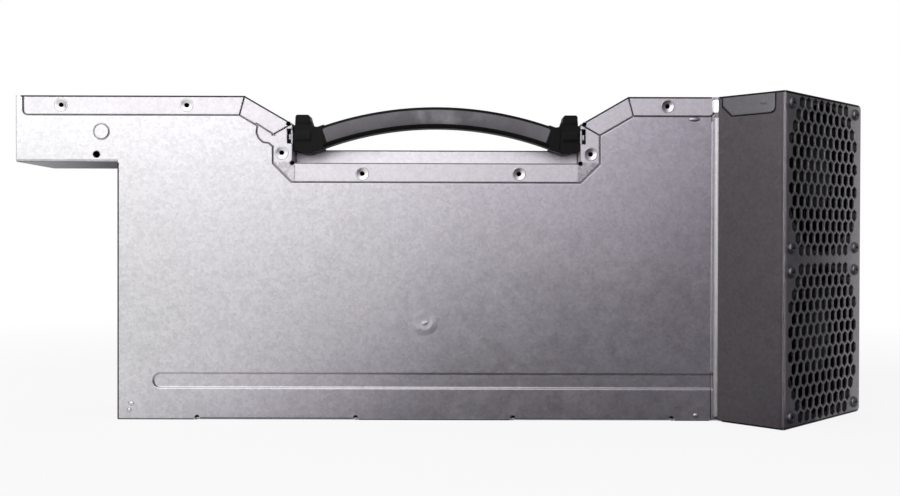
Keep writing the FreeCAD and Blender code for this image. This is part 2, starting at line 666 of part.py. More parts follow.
def inlet_leads():
    # Three stiff leads from the inlet's tails down to the board
    y, z = inlet_centre()
    start = X_ARM + INLET_SETBACK + INLET_BODY_DEPTH + 8
    half = LEAD_WIDTH / 2
    leads = []
    for index, (dy, dz) in enumerate(inlet_pin_spots()):
        x = X_WALL + BOARD_LEFT + 14 + 5 * index
        foot = BOARD_TOP - 4
        along = block(start, x + half, y + dy - half, y + dy + half, z + dz - half, z + dz + half)
        down = block(x - half, x + half, y + dy - half, y + dy + half, foot - half, z + dz + half)
        into = block(x - half, x + half, y + dy - half, BOARD_FRONT, foot - half, foot + half)
        leads.append(union([along, down, into]))
    return group(leads)


def fan_heights():
    return [Z_TOP / 2 + FAN_PITCH / 2, Z_TOP / 2 - FAN_PITCH / 2]


def fan_hole_spots(z):
    half = FAN_HOLE_PITCH / 2
    x = GRILLE_WIDTH / 2
    return [(x - half, z - half), (x + half, z - half), (x - half, z + half), (x + half, z + half)]


def hexagon(x, z):
    radius = HEX_FLATS / math.sqrt(3)
    points = []
    for k in range(6):
        angle = math.radians(60 * k + 90)
        points.append((x + radius * math.cos(angle), z + radius * math.sin(angle)))
    return prism(points, "y", -1, SHEET + 1)


def fan_grille():
    panel = block(0, GRILLE_WIDTH, 0, SHEET, 0, Z_TOP)
    panel = rounded(panel, GRILLE_CORNER, [{"x": GRILLE_WIDTH, "z": 0}, {"x": GRILLE_WIDTH, "z": Z_TOP}])
    low = 8.0
    high = Z_TOP - FLARE_TAB_DROP - 8.0
    near = block(SHEET, SHEET * 2, SHEET, 12, low, high)
    far = block(GRILLE_WIDTH - SHEET * 2, GRILLE_WIDTH - SHEET, SHEET, 12, low, high)
    root_near = block(SHEET, SHEET * 2, 0, SHEET, low, high)
    root_far = block(GRILLE_WIDTH - SHEET * 2, GRILLE_WIDTH - SHEET, 0, SHEET, low, high)
    panel = union([panel, near, far, root_near, root_far])
    cuts = []
    half = HEX_ROWS // 2
    rise = HEX_PITCH * math.sqrt(3) / 2
    for z in fan_heights():
        for row in range(-half, half + 1):
            widest = HEX_WIDEST if (row + half) % 2 else HEX_WIDEST - 1
            count = min(HEX_WIDEST + 3 - abs(row), widest)
            for column in range(count):
                x = GRILLE_WIDTH / 2 + (column - (count - 1) / 2) * HEX_PITCH
                cuts.append(hexagon(x, z + row * rise))
        for x, hole in fan_hole_spots(z):
            cuts.append(bar(x, hole, FAN_SCREW_RADIUS + 0.1, -1, SHEET + 1, SCREW_SIDES))
    return in_fan_box(less(panel, cuts))


def fan_screws():
    screws = []
    tip = SHEET + FAN_FLANGE + 4
    profile = [(FAN_SCREW_HEAD * 0.7, -1.5), (FAN_SCREW_HEAD, 0),
               (FAN_SCREW_RADIUS, 0), (FAN_SCREW_RADIUS, tip)]
    for z in fan_heights():
        for x, hole in fan_hole_spots(z):
            screws.append(in_fan_box(stepped(profile, x, 0, hole, SCREW_SIDES)))
    return group(screws)


def fan_frame(z):
    x = GRILLE_WIDTH / 2
    half = FAN_SIZE / 2
    cut = half - FAN_CORNER
    y0 = SHEET
    y1 = SHEET + FAN_DEPTH
    seat = y1 - FAN_BASE
    outline = [(x - cut, z - half), (x + cut, z - half), (x + half, z - cut), (x + half, z + cut),
               (x + cut, z + half), (x - cut, z + half), (x - half, z + cut), (x - half, z - cut)]
    shell = prism(outline, "y", y0, y1)
    cuts = [bar(x, z, FAN_DUCT_RADIUS, y0 - 1, y1 + 1, DUCT_SIDES)]
    for a, b in fan_hole_spots(z):
        cuts.append(bar(a, b, FAN_SCREW_RADIUS + 0.1, y0 - 1, y1 + 1, SCREW_SIDES))
    reach = FAN_DUCT_RADIUS + 0.6
    spoke = SPOKE_WIDTH / 2
    inside = [bar(x, z, HUB_RADIUS - 1, seat, y1, HUB_SIDES),
              ring(x, z, POST_RADIUS, SLEEVE_RADIUS + FIT, y0 + 7, seat, 12),
              block(x - reach, x + reach, seat, y1, z - spoke, z + spoke),
              block(x - spoke, x + spoke, seat, y1, z - reach, z + reach)]
    return in_fan_box(union([less(shell, cuts)] + inside))


def fan_stator(z):
    x = GRILLE_WIDTH / 2
    y1 = SHEET + FAN_DEPTH - FAN_BASE
    pieces = [ring(x, z, HUB_RADIUS * 0.5, POST_RADIUS + FIT, y1 - 12, y1, 12)]
    for k in range(4):
        arm = block(x + POST_RADIUS + 0.2, x + HUB_RADIUS * 0.72, y1 - 9, y1 - 4, z - 2.5, z + 2.5)
        pieces.append(arm.rotated(V(x, 0, z), V(0, 1, 0), 90 * k))
    return in_fan_box(union(pieces))


def fan_bearing(z):
    x = GRILLE_WIDTH / 2
    sleeve = bar(x, z, SLEEVE_RADIUS, SHEET + 8, SHEET + FAN_DEPTH - FAN_BASE - 2, 12)
    return in_fan_box(sleeve.cut(rod("y", x, z, FAN_SHAFT_RADIUS + 0.03, 0, FAN_DEPTH)))


def blade_section(x, middle):
    # Cambered section in steps, leading edge first
    tilt = math.radians(BLADE_PITCH)
    sag = BLADE_CHORD * 0.14
    top = []
    under = []
    for k in range(BLADE_STEPS + 1):
        along = BLADE_CHORD * (k / BLADE_STEPS - 0.5)
        lift = sag * (1 - (2 * k / BLADE_STEPS - 1) ** 2)
        top.append((along, lift))
        under.insert(0, (along, lift - BLADE_THICKNESS))
    points = []
    for along, lift in top + under:
        across = along * math.cos(tilt) - lift * math.sin(tilt)
        points.append((x + across, middle + along * math.sin(tilt) + lift * math.cos(tilt)))
    return points


def fan_rotor(z):
    x = GRILLE_WIDTH / 2
    y0 = SHEET + 3.0
    y1 = SHEET + FAN_DEPTH - FAN_BASE - 1.0
    cup = bar(x, z, HUB_RADIUS, y0, y1, HUB_SIDES)
    boss = bar(x, z, FAN_SHAFT_RADIUS * 2, y0 + 1, y0 + 3.4, 12)
    bore = rod("y", x, z, FAN_SHAFT_RADIUS, y0 + 0.8, y1 + 1)
    section = blade_section(x, (y0 + y1) / 2)
    reach = max(abs(a - x) for a, b in section)
    tip = math.sqrt((FAN_DUCT_RADIUS - BLADE_TIP_GAP) ** 2 - reach ** 2)
    root = math.sqrt(HUB_RADIUS ** 2 - reach ** 2) - HUB_WALL / 4
    blade = prism(section, "z", z + root, z + tip)
    blades = [blade.rotated(V(x, 0, z), V(0, 1, 0), 360 / BLADE_COUNT * k) for k in range(BLADE_COUNT)]
    hollow = bar(x, z, HUB_RADIUS - HUB_WALL, y0 + 1.6, y1 + 1, HUB_SIDES)
    return in_fan_box(union([cup.fuse(blades).cut(hollow), boss]).cut(bore))


def fan_shaft(z):
    end = SHEET + FAN_DEPTH - FAN_BASE - 1.5
    return in_fan_box(rod("y", GRILLE_WIDTH / 2, z, FAN_SHAFT_RADIUS, SHEET + 3.8, end))


def fan_magnet(z):
    outer = HUB_RADIUS - HUB_WALL - FIT
    end = SHEET + FAN_DEPTH - FAN_BASE - 2.0
    return in_fan_box(ring(GRILLE_WIDTH / 2, z, outer, outer - 1.8, SHEET + 5.5, end, HUB_SIDES))


def strap_arc():
    half = RECESS_WIDTH / 2 - END_GAP - END_LENGTH
    rise = STRAP_RADIUS - math.sqrt(STRAP_RADIUS ** 2 - half ** 2)
    return half, Z_PIVOT + STRAP_ROOT + rise - STRAP_RADIUS


def handle_strap():
    half, centre = strap_arc()
    a = STRAP_WIDTH / 2
    b = STRAP_HEIGHT / 2
    e = STRAP_EDGE
    section = [(-a, -b + e), (-a + e, -b), (a - e, -b), (a, -b + e),
               (a, b - e), (a - e, b), (-a + e, b), (-a, b - e)]
    crest = centre + STRAP_RADIUS
    corners = [V(X_MIDDLE, Y_PIVOT + p, crest + q) for p, q in section]
    face = Part.Face(Part.makePolygon(corners + corners[:1]))
    sweep = math.degrees(math.asin(half / STRAP_RADIUS)) + 4
    axis = V(X_MIDDLE, Y_PIVOT, centre)
    face.rotate(axis, V(0, 1, 0), -sweep)
    arch = face.revolve(axis, V(0, 1, 0), sweep * 2)
    keep = block(X_MIDDLE - half, X_MIDDLE + half, Y_PIVOT - 40, Y_PIVOT + 40, 0, Z_TOP + 60)
    return arch.common(keep)


# Front view of a handle end: offsets from its outer side and from the pivot, clockwise from the shoulder
END_OUTLINE = [(0, 5.0), (0.8, 6.1), (0.95, 10.3), (1.6, 11.2), (7.5, 11.2), (8.2, 10.5), (8.7, 8.4),
               (9.36, 6.1), (10.6, 5.2), (12.2, 4.95), (15.5, 6.1), (15.5, -6.1), (13.6, -7.1), (10.5, -7.9),
               (9.0, -8.65), (5.3, -8.7), (3.6, -7.9), (0.4, -7.4), (0, -6.9)]


def handle_end():
    # Left end; the right one is its mirror image
    x0 = X_RECESS_A + END_GAP
    outline = [(x0 + x, Z_PIVOT + z) for x, z in END_OUTLINE]
    collar = [(x0 + x, Z_PIVOT + z) for x, z in END_OUTLINE if x >= COLLAR_START]
    half = END_DEPTH / 2
    wide = STRAP_WIDTH / 2 + COLLAR_PROUD
    section = polygon(Y_PIVOT, Z_PIVOT, BARREL_RADIUS, 16)
    end = union([prism(outline, "y", Y_PIVOT - half, Y_PIVOT + half),
                 prism(collar, "y", Y_PIVOT - wide, Y_PIVOT + half),
                 prism(section, "x", x0 + END_LENGTH * 0.05, x0 + BARREL_LENGTH)])
    return end.cut(rod("x", Y_PIVOT, Z_PIVOT, PIN_RADIUS + 0.02, x0 - 1, x0 + 9))


def handle_pin():
    x0 = X_RECESS_A + END_GAP
    wall = X_RECESS_A - SHEET
    shank = rod("x", Y_PIVOT, Z_PIVOT, PIN_RADIUS, wall - 1.5, x0 + 8.5)
    head = prism(polygon(Y_PIVOT, Z_PIVOT, PIN_HEAD_RADIUS, 8), "x", wall - 1.5, wall - 0.3)
    return union([shank, head])


def other_side(shape):
    return shape.mirror(V(X_MIDDLE, 0, 0), V(1, 0, 0))


def standoff_spots():
    left = X_WALL + BOARD_LEFT + 6
    right = X_BEND - BOARD_RIGHT - 6
    middle = (left + right) / 2
    return [(x, z) for x in (left, middle, right) for z in (BOARD_BASE + 8, BOARD_TOP - 6)]


def main_board():
    board = block(X_WALL + BOARD_LEFT, X_BEND - BOARD_RIGHT, BOARD_FRONT, BOARD_REAR, BOARD_BASE, BOARD_TOP)
    hole = BOARD_SCREW_RADIUS + 0.1
    return less(board, [bar(x, z, hole, BOARD_FRONT - 1, BOARD_REAR + 1, 6) for x, z in standoff_spots()])


def board_standoffs():
    rear = Y_BACK - SHEET
    bore = BOARD_SCREW_RADIUS + FIT
    return group([ring(x, z, STANDOFF_RADIUS, bore, BOARD_REAR, rear, 6) for x, z in standoff_spots()])


def board_screws():
    head = BOARD_SCREW_RADIUS * 1.8
    profile = [(head, -2), (head, 0), (BOARD_SCREW_RADIUS, 0), (BOARD_SCREW_RADIUS, BOARD_THICKNESS + 4)]
    return group([stepped(profile, x, BOARD_FRONT, z, 6) for x, z in standoff_spots()])


def insulator_sheet():
    rear = Y_BACK - SHEET
    low = rear - FILM_THICKNESS
    left = X_WALL + BOARD_LEFT - 3
    right = X_BEND - BOARD_RIGHT + 3
    film = block(left, right, low, rear, BOARD_BASE - 3, BOARD_TOP + 3)
    return less(film, [bar(x, z, STANDOFF_RADIUS + 0.4, low - 1, rear + 1, 6) for x, z in standoff_spots()])


def at_x(column):
    return X_WALL + BOARD_LEFT + column * COLUMN


def at_z(row):
    return BOARD_BASE + row * ROW


def on_board(x0, x1, z0, z1, height):
    return block(at_x(x0), at_x(x1), BOARD_FRONT - height * LAYER, BOARD_FRONT, at_z(z0), at_z(z1))


def can(x, z, radius, height):
    return bar(at_x(x), at_z(z), radius * CELL, BOARD_FRONT - height * LAYER, BOARD_FRONT, 12)


def ring_core(x, z, outer, inner, height, wrap):
    top = BOARD_FRONT - wrap
    return ring(at_x(x), at_z(z), outer * CELL, inner * CELL, top - height * LAYER, top, 16)


def ring_wrap(x, z, outer, inner, height, wrap, gaps):
    # Hollow wrap round a ring core, open where a gap crosses it
    a = at_x(x)
    b = at_z(z)
    out = outer * CELL
    core = inner * CELL
    top = BOARD_FRONT - wrap
    low = top - height * LAYER
    clear = wrap * 0.2
    cover = ring(a, b, out + wrap, core - wrap, low - wrap, top + wrap, 16)
    cuts = [ring(a, b, out + clear, core - clear, low - clear, top + clear, 16)]
    for angle in gaps:
        wedge = block(a, a + out * 2, low - wrap * 2, BOARD_FRONT + 1, b - wrap * 2, b + wrap * 2)
        cuts.append(wedge.rotated(V(a, 0, b), V(0, 1, 0), angle))
    return less(cover, cuts)


# Places on the board grid: column, row, then outer and inner radius, height and wrap
FILTER_CHOKE = (18, 88, 11, 6, 9, 1.6)
BOOST_CHOKE = (64, 36, 18, 10, 13, 2.0)
OUTPUT_CHOKE = (204, 22, 12, 7, 12, 1.8)
TRANSFORMER = (142, 26)
TRANSFORMER_HEIGHT = 34.0


def filter_capacitors():
    return group([on_board(6, 32, 50, 60, 18), on_board(6, 32, 34, 44, 18)])


def bridge_rectifier():
    return on_board(40, 62, 80, 85, 22)


def bulk_capacitors():
    return group([can(82 + 34 * k, 87, BULK_RADIUS, BULK_HEIGHT) for k in range(3)])


def heatsink(x0, x1, z, fins):
    shapes = [on_board(x0, x1, z, z + SINK_PLATE, SINK_HEIGHT)]
    pitch = (SINK_HEIGHT - 2 * FIN_WIDTH) / (fins - 1)
    for k in range(fins):
        fin = on_board(x0, x1, z + SINK_PLATE / 2, z + 13, FIN_WIDTH)
        fin.translate(V(0, (pitch * k - SINK_HEIGHT + FIN_WIDTH) * LAYER, 0))
        shapes.append(fin)
    return union(shapes)


def transistors(x0, z, count, pitch):
    return group([on_board(x0 + pitch * k, x0 + pitch * k + 15.6, z - 5, z, 20) for k in range(count)])


def transformer_core():
    x, z = TRANSFORMER
    core = on_board(x - 22, x + 22, z - 14, z + 14, TRANSFORMER_HEIGHT)
    front = BOARD_FRONT - TRANSFORMER_HEIGHT * LAYER
    cuts = []
    for side in (-1, 1):
        a, b = sorted((at_x(x + side * 7), at_x(x + side * 16)))
        cuts.append(block(a, b, front + 7, BOARD_FRONT - 7, at_z(z - 15), at_z(z + 15)))
    return less(core, cuts)


def transformer_winding():
    x, z = TRANSFORMER
    front = BOARD_FRONT - TRANSFORMER_HEIGHT * LAYER
    a, b = at_x(x - 15.6), at_x(x + 15.6)
    c, d = at_z(z - 20), at_z(z + 20)
    cut = 4.0
    outline = [(a + cut, c), (b - cut, c), (b, c + cut), (b, d - cut),
               (b - cut, d), (a + cut, d), (a, d - cut), (a, c + cut)]
    outer = prism(outline, "y", front + 7.3, BOARD_FRONT - 7.3)
    left, right = at_x(x - 7) - 0.2, at_x(x + 7) + 0.2
    return outer.cut(block(left, right, front, BOARD_FRONT, at_z(z - 14) - 0.2, at_z(z + 14) + 0.2))


def output_capacitors():
    return group([can(228 + 12 * i, 16 + 13 * j, 5.0, 22) for i in range(3) for j in range(2)])


def control_board():
    return on_board(192, 247, 86, 87.6, 26)


def connector_slots():
    pitch = (CONNECTOR_LENGTH - 16) / CONNECTOR_SLOTS
    x0 = at_x(CONNECTOR_START) + 4
    return [x0 + pitch * (k + 0.5) for k in range(CONNECTOR_SLOTS)]


def output_connector():
    x0 = at_x(CONNECTOR_START)
    y0 = BOARD_FRONT - CONNECTOR_WIDTH
    body = block(x0, x0 + CONNECTOR_LENGTH, y0, BOARD_FRONT, 0.2, CONNECTOR_HEIGHT)
    cuts = [block(x - 1.3, x + 1.3, y0 + 3, BOARD_FRONT - 3, -1, 10) for x in connector_slots()]
    key = x0 + CONNECTOR_LENGTH - 10
    cuts.append(block(key, key + 7, y0 + 3, BOARD_FRONT - 3, -1, 10))
    for x in connector_slots():
        cuts.append(block(x - 0.45, x + 0.45, y0 + 3.9, BOARD_FRONT - 3.9, 5, CONNECTOR_HEIGHT + 1))
    return less(body, cuts)


def output_blades():
    y0 = BOARD_FRONT - CONNECTOR_WIDTH
    top = CONNECTOR_HEIGHT + 2
    return group([block(x - 0.4, x + 0.4, y0 + 4, BOARD_FRONT - 4, 1.5, top) for x in connector_slots()])


UPPER, LOWER = fan_heights()
COVER_SHEET = cover_sheet()

NODES = {
    "front_cover": front_cover(),
    "flare_panel": flare_panel(),
    "top_channel": top_channel(),
    "rear_tray": rear_tray(),
    "inlet_panel": inlet_panel(),
    "fan_grille": fan_grille(),
    "flange_rivets": group([rivet(x, z) for x, z in rivet_spots(Z_LEDGE)]),
    "fan_screws": fan_screws(),
    "handle_strap": handle_strap(),
    "handle_end_left": handle_end(),
    "handle_end_right": other_side(handle_end()),
    "handle_pin_left": handle_pin(),
    "handle_pin_right": other_side(handle_pin()),
    "inlet_housing": inlet_housing(),
    "inlet_pins": inlet_pins(),
    "inlet_leads": inlet_leads(),
    "upper_fan_frame": fan_frame(UPPER),
    "lower_fan_frame": fan_frame(LOWER),
    "upper_fan_stator": fan_stator(UPPER),
    "lower_fan_stator": fan_stator(LOWER),
    "upper_fan_bearing": fan_bearing(UPPER),
    "lower_fan_bearing": fan_bearing(LOWER),
    "upper_fan_rotor": fan_rotor(UPPER),
    "lower_fan_rotor": fan_rotor(LOWER),
    "upper_fan_shaft": fan_shaft(UPPER),
    "lower_fan_shaft": fan_shaft(LOWER),
    "upper_fan_magnet": fan_magnet(UPPER),
    "lower_fan_magnet": fan_magnet(LOWER),
    "main_board": main_board(),
    "board_standoffs": board_standoffs(),
    "board_screws": board_screws(),
    "insulator_sheet": insulator_sheet(),
    "filter_choke_core": ring_core(*FILTER_CHOKE),
    "filter_choke_windings": ring_wrap(*FILTER_CHOKE, (90, 270)),
    "filter_capacitors": filter_capacitors(),
    "bridge_rectifier": bridge_rectifier(),
    "boost_choke_core": ring_core(*BOOST_CHOKE),
    "boost_choke_winding": ring_wrap(*BOOST_CHOKE, (180,)),
    "bulk_capacitors": bulk_capacitors(),
    "primary_heatsink": heatsink(94, 174, 55, 5),
    "primary_transistors": transistors(97, 55, 4, 19),
    "transformer_core": transformer_core(),
    "transformer_winding": transformer_winding(),
    "secondary_heatsink": heatsink(184, 254, 55, 5),
    "secondary_rectifiers": transistors(188, 55, 3, 22),
    "output_choke_core": ring_core(*OUTPUT_CHOKE),
    "output_choke_winding": ring_wrap(*OUTPUT_CHOKE, (180,)),
    "output_capacitors": output_capacitors(),
    "control_board": control_board(),
    "output_connector": output_connector(),
    "output_blades": output_blades(),
}

os.makedirs("parts", exist_ok=True)
for name, shape in NODES.items():
    shape.exportStep("parts/" + name + ".step")
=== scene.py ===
import json
import math

import bmesh
import bpy
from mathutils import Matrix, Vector


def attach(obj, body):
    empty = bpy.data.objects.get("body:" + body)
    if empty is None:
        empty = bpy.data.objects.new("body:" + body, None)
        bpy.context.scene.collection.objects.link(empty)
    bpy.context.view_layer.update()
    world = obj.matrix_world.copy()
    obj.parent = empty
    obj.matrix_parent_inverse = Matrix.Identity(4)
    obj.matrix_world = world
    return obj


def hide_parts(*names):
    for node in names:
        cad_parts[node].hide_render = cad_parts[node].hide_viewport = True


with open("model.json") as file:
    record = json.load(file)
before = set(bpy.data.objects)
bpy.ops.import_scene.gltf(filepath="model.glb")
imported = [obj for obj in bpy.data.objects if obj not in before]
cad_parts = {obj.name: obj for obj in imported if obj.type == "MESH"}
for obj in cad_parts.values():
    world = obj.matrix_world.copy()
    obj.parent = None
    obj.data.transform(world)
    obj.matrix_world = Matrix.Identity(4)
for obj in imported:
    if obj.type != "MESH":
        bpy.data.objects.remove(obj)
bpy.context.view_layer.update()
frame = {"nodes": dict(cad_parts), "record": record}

scene = bpy.context.scene
nodes = frame["nodes"]
MM = 0.001

# Places of the case, in millimetres, as in the solids
X_ARM = -222.9165
X_WALL = -170.9165
X_BEND = 136.0835
X_RECESS_A = -81.4165
X_RECESS_B = 66.2835
X_MIDDLE = (X_RECESS_A + X_RECESS_B) / 2
Y_FACE = -12.742
Z_TOP = 166.0
Z_ARM = 132.0
Z_LEDGE = 131.8
Z_FLOOR = 139.3
Y_PIVOT = -5.742
Z_PIVOT = 145.5
TURN = math.radians(45)
OUTWARD = Vector((math.sin(TURN), -math.cos(TURN), 0))
ALONG = Vector((math.cos(TURN), math.sin(TURN), 0))
UP = Vector((0, 0, 1))
FRONT = Vector((0, -1, 0))
RIGHT = Vector((1, 0, 0))
FLARE_LENGTH = 37.5
APEX = Vector((X_BEND, Y_FACE, 0)) + OUTWARD * FLARE_LENGTH
GRILLE_WIDTH = 85.3
FAN_MIDDLE = GRILLE_WIDTH / 2
FAN_RISE = 41.7
FAN_HEIGHTS = {"upper": Z_TOP / 2 + FAN_RISE, "lower": Z_TOP / 2 - FAN_RISE}
FAN_SCREW_REACH = 35.75
STRAP_RADIUS = 174.5
STRAP_CENTRE = -18.997
STRAP_HALF = 5.5
FLANGE_MIDDLE = 4.8
SLOPE_RUN = 24.4
SLOPE_DROP = 14.1


# Material helpers
def new_material(name):
    material = bpy.data.materials.new(name)
    material.use_nodes = True
    tree = material.node_tree
    return material, tree, tree.nodes["Principled BSDF"]


def link(tree, a, b):
    tree.links.new(a, b)


def coords(tree, scale=(1, 1, 1), turn=(0, 0, 0)):
    source = tree.nodes.new("ShaderNodeTexCoord")
    mapping = tree.nodes.new("ShaderNodeMapping")
    mapping.inputs["Scale"].default_value = scale
    mapping.inputs["Rotation"].default_value = turn
    link(tree, source.outputs["Object"], mapping.inputs["Vector"])
    return mapping.outputs["Vector"]


def noise(tree, where, scale, detail=3.0, rough=0.55):
    node = tree.nodes.new("ShaderNodeTexNoise")
    node.inputs["Scale"].default_value = scale
    node.inputs["Detail"].default_value = detail
    node.inputs["Roughness"].default_value = rough
    link(tree, where, node.inputs["Vector"])
    return node.outputs["Fac"]


def cells(tree, where, scale):
    node = tree.nodes.new("ShaderNodeTexVoronoi")
    node.inputs["Scale"].default_value = scale
    link(tree, where, node.inputs["Vector"])
    split = tree.nodes.new("ShaderNodeSeparateColor")
    link(tree, node.outputs["Color"], split.inputs["Color"])
    return split.outputs["Red"]


def math_node(tree, kind, a, b=0.0, clamp=False):
    node = tree.nodes.new("ShaderNodeMath")
    node.operation = kind
    node.use_clamp = clamp
    for socket, value in ((node.inputs[0], a), (node.inputs[1], b)):
        if isinstance(value, (int, float)):
            socket.default_value = value
        else:
            link(tree, value, socket)
    return node.outputs[0]


def remap(tree, value, low, high, to_low, to_high):
    node = tree.nodes.new("ShaderNodeMapRange")
    node.inputs["From Min"].default_value = low
    node.inputs["From Max"].default_value = high
    node.inputs["To Min"].default_value = to_low
    node.inputs["To Max"].default_value = to_high
    link(tree, value, node.inputs["Value"])
    return node.outputs["Result"]


def color_mix(tree, factor, a, b):
    node = tree.nodes.new("ShaderNodeMix")
    node.data_type = "RGBA"
    factor_in, a_in, b_in = node.inputs[0], node.inputs[6], node.inputs[7]
    for socket, value in ((factor_in, factor), (a_in, a), (b_in, b)):
        if isinstance(value, (int, float)):
            socket.default_value = value
        elif isinstance(value, tuple):
            socket.default_value = value + (1.0,)
        else:
            link(tree, value, socket)
    return node.outputs[2]


def edge_mask(tree, radius, low=0.002, high=0.12):
    bevel = tree.nodes.new("ShaderNodeBevel")
    bevel.samples = 6
    bevel.inputs["Radius"].default_value = radius
    geometry = tree.nodes.new("ShaderNodeNewGeometry")
    dot = tree.nodes.new("ShaderNodeVectorMath")
    dot.operation = "DOT_PRODUCT"
    link(tree, bevel.outputs["Normal"], dot.inputs[0])
    link(tree, geometry.outputs["Normal"], dot.inputs[1])
    bent = math_node(tree, "SUBTRACT", 1.0, dot.outputs["Value"])
    return bevel.outputs["Normal"], remap(tree, bent, low, high, 0.0, 1.0)


def bump(tree, height, strength, distance, normal=None):
    node = tree.nodes.new("ShaderNodeBump")
    node.inputs["Strength"].default_value = strength
    node.inputs["Distance"].default_value = distance
    link(tree, height, node.inputs["Height"])
    if normal is not None:
        link(tree, normal, node.inputs["Normal"])
    return node.outputs["Normal"]


def crevice(tree, distance, low, high):
    # 1 on open faces, falling to 0 in narrow seams, where shade is painted
    node = tree.nodes.new("ShaderNodeAmbientOcclusion")
    node.samples = 6
    node.inputs["Distance"].default_value = distance
    return remap(tree, node.outputs["AO"], low, high, 0.0, 1.0)


def steel(name, light, dark, rough_low, rough_high, grain=1.0, edge_gain=1.0, edge_radius=0.0006):
    # Zinc-coated sheet: cloudy tone, fine spangle and rolling marks; edges tinted by edge_gain as wear and
    # painted light, seams darkened as painted shade
    material, tree, shader = new_material(name)
    where = coords(tree)
    rolled = coords(tree, (14, 14, 900))
    cloud = noise(tree, where, 11, 2.0)
    mottle = noise(tree, where, 190, 3.0, 0.65)
    spangle = cells(tree, where, 620)
    speck = noise(tree, where, 950, 2.0, 0.6)
    lines = noise(tree, rolled, 1.0, 2.0)
    tone = math_node(tree, "MULTIPLY", cloud, 0.22)
    tone = math_node(tree, "ADD", tone, math_node(tree, "MULTIPLY", mottle, 0.34 * grain))
    tone = math_node(tree, "ADD", tone, math_node(tree, "MULTIPLY", spangle, 0.26 * grain))
    tone = math_node(tree, "ADD", tone, math_node(tree, "MULTIPLY", speck, 0.60 * grain))
    tone = math_node(tree, "ADD", tone, math_node(tree, "MULTIPLY", lines, 0.08))
    middle = 0.15 + 0.60 * grain
    tone = remap(tree, tone, middle - 0.22, middle + 0.22, 0.0, 1.0)
    rounded, edge = edge_mask(tree, edge_radius)
    color = color_mix(tree, tone, dark, light)
    # Edges mixed toward the light tone times edge_gain: wear, plus painted highlight where the gain is above
    # 1 and painted shade where it is below 1
    edge_wear_and_painted_light = math_node(tree, "MULTIPLY", edge, remap(tree, cloud, 0.35, 0.65, 0.7, 1.0), True)
    color = color_mix(tree, edge_wear_and_painted_light, color, tuple(min(1.0, c * edge_gain) for c in light))
    # Narrow seams and crevices darkened toward near-black: painted shade
    unshaded = crevice(tree, 0.0016, 0.30, 0.72)
    color = color_mix(tree, unshaded, tuple(c * 0.16 for c in dark), color)
    link(tree, color, shader.inputs["Base Color"])
    rough = remap(tree, math_node(tree, "ADD", cloud, mottle), 0.7, 1.3, rough_low, rough_high)
    link(tree, rough, shader.inputs["Roughness"])
    shader.inputs["Metallic"].default_value = 1.0
    relief = math_node(tree, "ADD", speck, math_node(tree, "MULTIPLY", mottle, 0.8))
    link(tree, bump(tree, relief, 0.10 * grain, 0.0002, rounded), shader.inputs["Normal"])
    return material


def plastic(name, color, rough_low, rough_high, grain_scale=1600, grain=0.2, edge_light=1.8, level=0.5):
    # Moulded plastic: fine texture, cloudy sheen and paler rubbed edges
    material, tree, shader = new_material(name)
    where = coords(tree)
    cloud = noise(tree, where, 45, 3.0)
    fine = noise(tree, where, grain_scale, 2.0)
    rounded, edge = edge_mask(tree, 0.0005)
    dark = tuple(c * 0.78 for c in color)
    tone = color_mix(tree, remap(tree, cloud, 0.35, 0.65, 0.0, 1.0), dark, color)
    edge_wear_and_painted_light = math_node(tree, "MULTIPLY", edge, remap(tree, cloud, 0.4, 0.62, 0.0, 0.7), True)
    tone = color_mix(tree, edge_wear_and_painted_light, tone, tuple(min(1.0, c * edge_light + 0.01) for c in color))
    link(tree, tone, shader.inputs["Base Color"])
    link(tree, remap(tree, cloud, 0.3, 0.7, rough_low, rough_high), shader.inputs["Roughness"])
    shader.inputs["Specular IOR Level"].default_value = level
    link(tree, bump(tree, fine, grain, 0.0001, rounded), shader.inputs["Normal"])
    return material


def worn_grip(name, color, worn):
    # Satin grip skin: leathery grain, scuffed paler in the middle of the strap
    material, tree, shader = new_material(name)
    where = coords(tree)
    source = tree.nodes.new("ShaderNodeTexCoord")
    split = tree.nodes.new("ShaderNodeSeparateXYZ")
    link(tree, source.outputs["Object"], split.inputs[0])
    away = math_node(tree, "ABSOLUTE", math_node(tree, "SUBTRACT", split.outputs["X"], X_MIDDLE * MM))
    middle = remap(tree, away, 0.006, 0.030, 1.0, 0.0)
    cloud = noise(tree, where, 70, 3.0, 0.6)
    fine = noise(tree, where, 900, 3.0, 0.6)
    patch = remap(tree, cloud, 0.42, 0.66, 0.0, 1.0)
    worn_share = math_node(tree, "ADD", math_node(tree, "MULTIPLY", middle, 0.75), 0.22)
    scuff = math_node(tree, "MULTIPLY", patch, worn_share, True)
    base = color_mix(tree, remap(tree, fine, 0.35, 0.65, 0.0, 1.0), tuple(c * 0.86 for c in color), color)
    link(tree, color_mix(tree, scuff, base, worn), shader.inputs["Base Color"])
    link(tree, remap(tree, cloud, 0.3, 0.7, 0.42, 0.58), shader.inputs["Roughness"])
    shader.inputs["Specular IOR Level"].default_value = 0.4
    link(tree, bump(tree, fine, 0.25, 0.0001), shader.inputs["Normal"])
    return material


def bare_metal(name, color, rough_low, rough_high, brush=(40, 40, 1400)):
    # Brushed metal with a cloudy tone
    material, tree, shader = new_material(name)
    where = coords(tree)
    brushed = noise(tree, coords(tree, brush), 1.0, 3.0)
    cloud = noise(tree, where, 120, 2.0)
    dark = tuple(c * 0.82 for c in color)
    link(tree, color_mix(tree, cloud, dark, color), shader.inputs["Base Color"])
    link(tree, remap(tree, brushed, 0.3, 0.7, rough_low, rough_high), shader.inputs["Roughness"])
    shader.inputs["Metallic"].default_value = 1.0
    link(tree, bump(tree, brushed, 0.12, 0.0001), shader.inputs["Normal"])
    return material


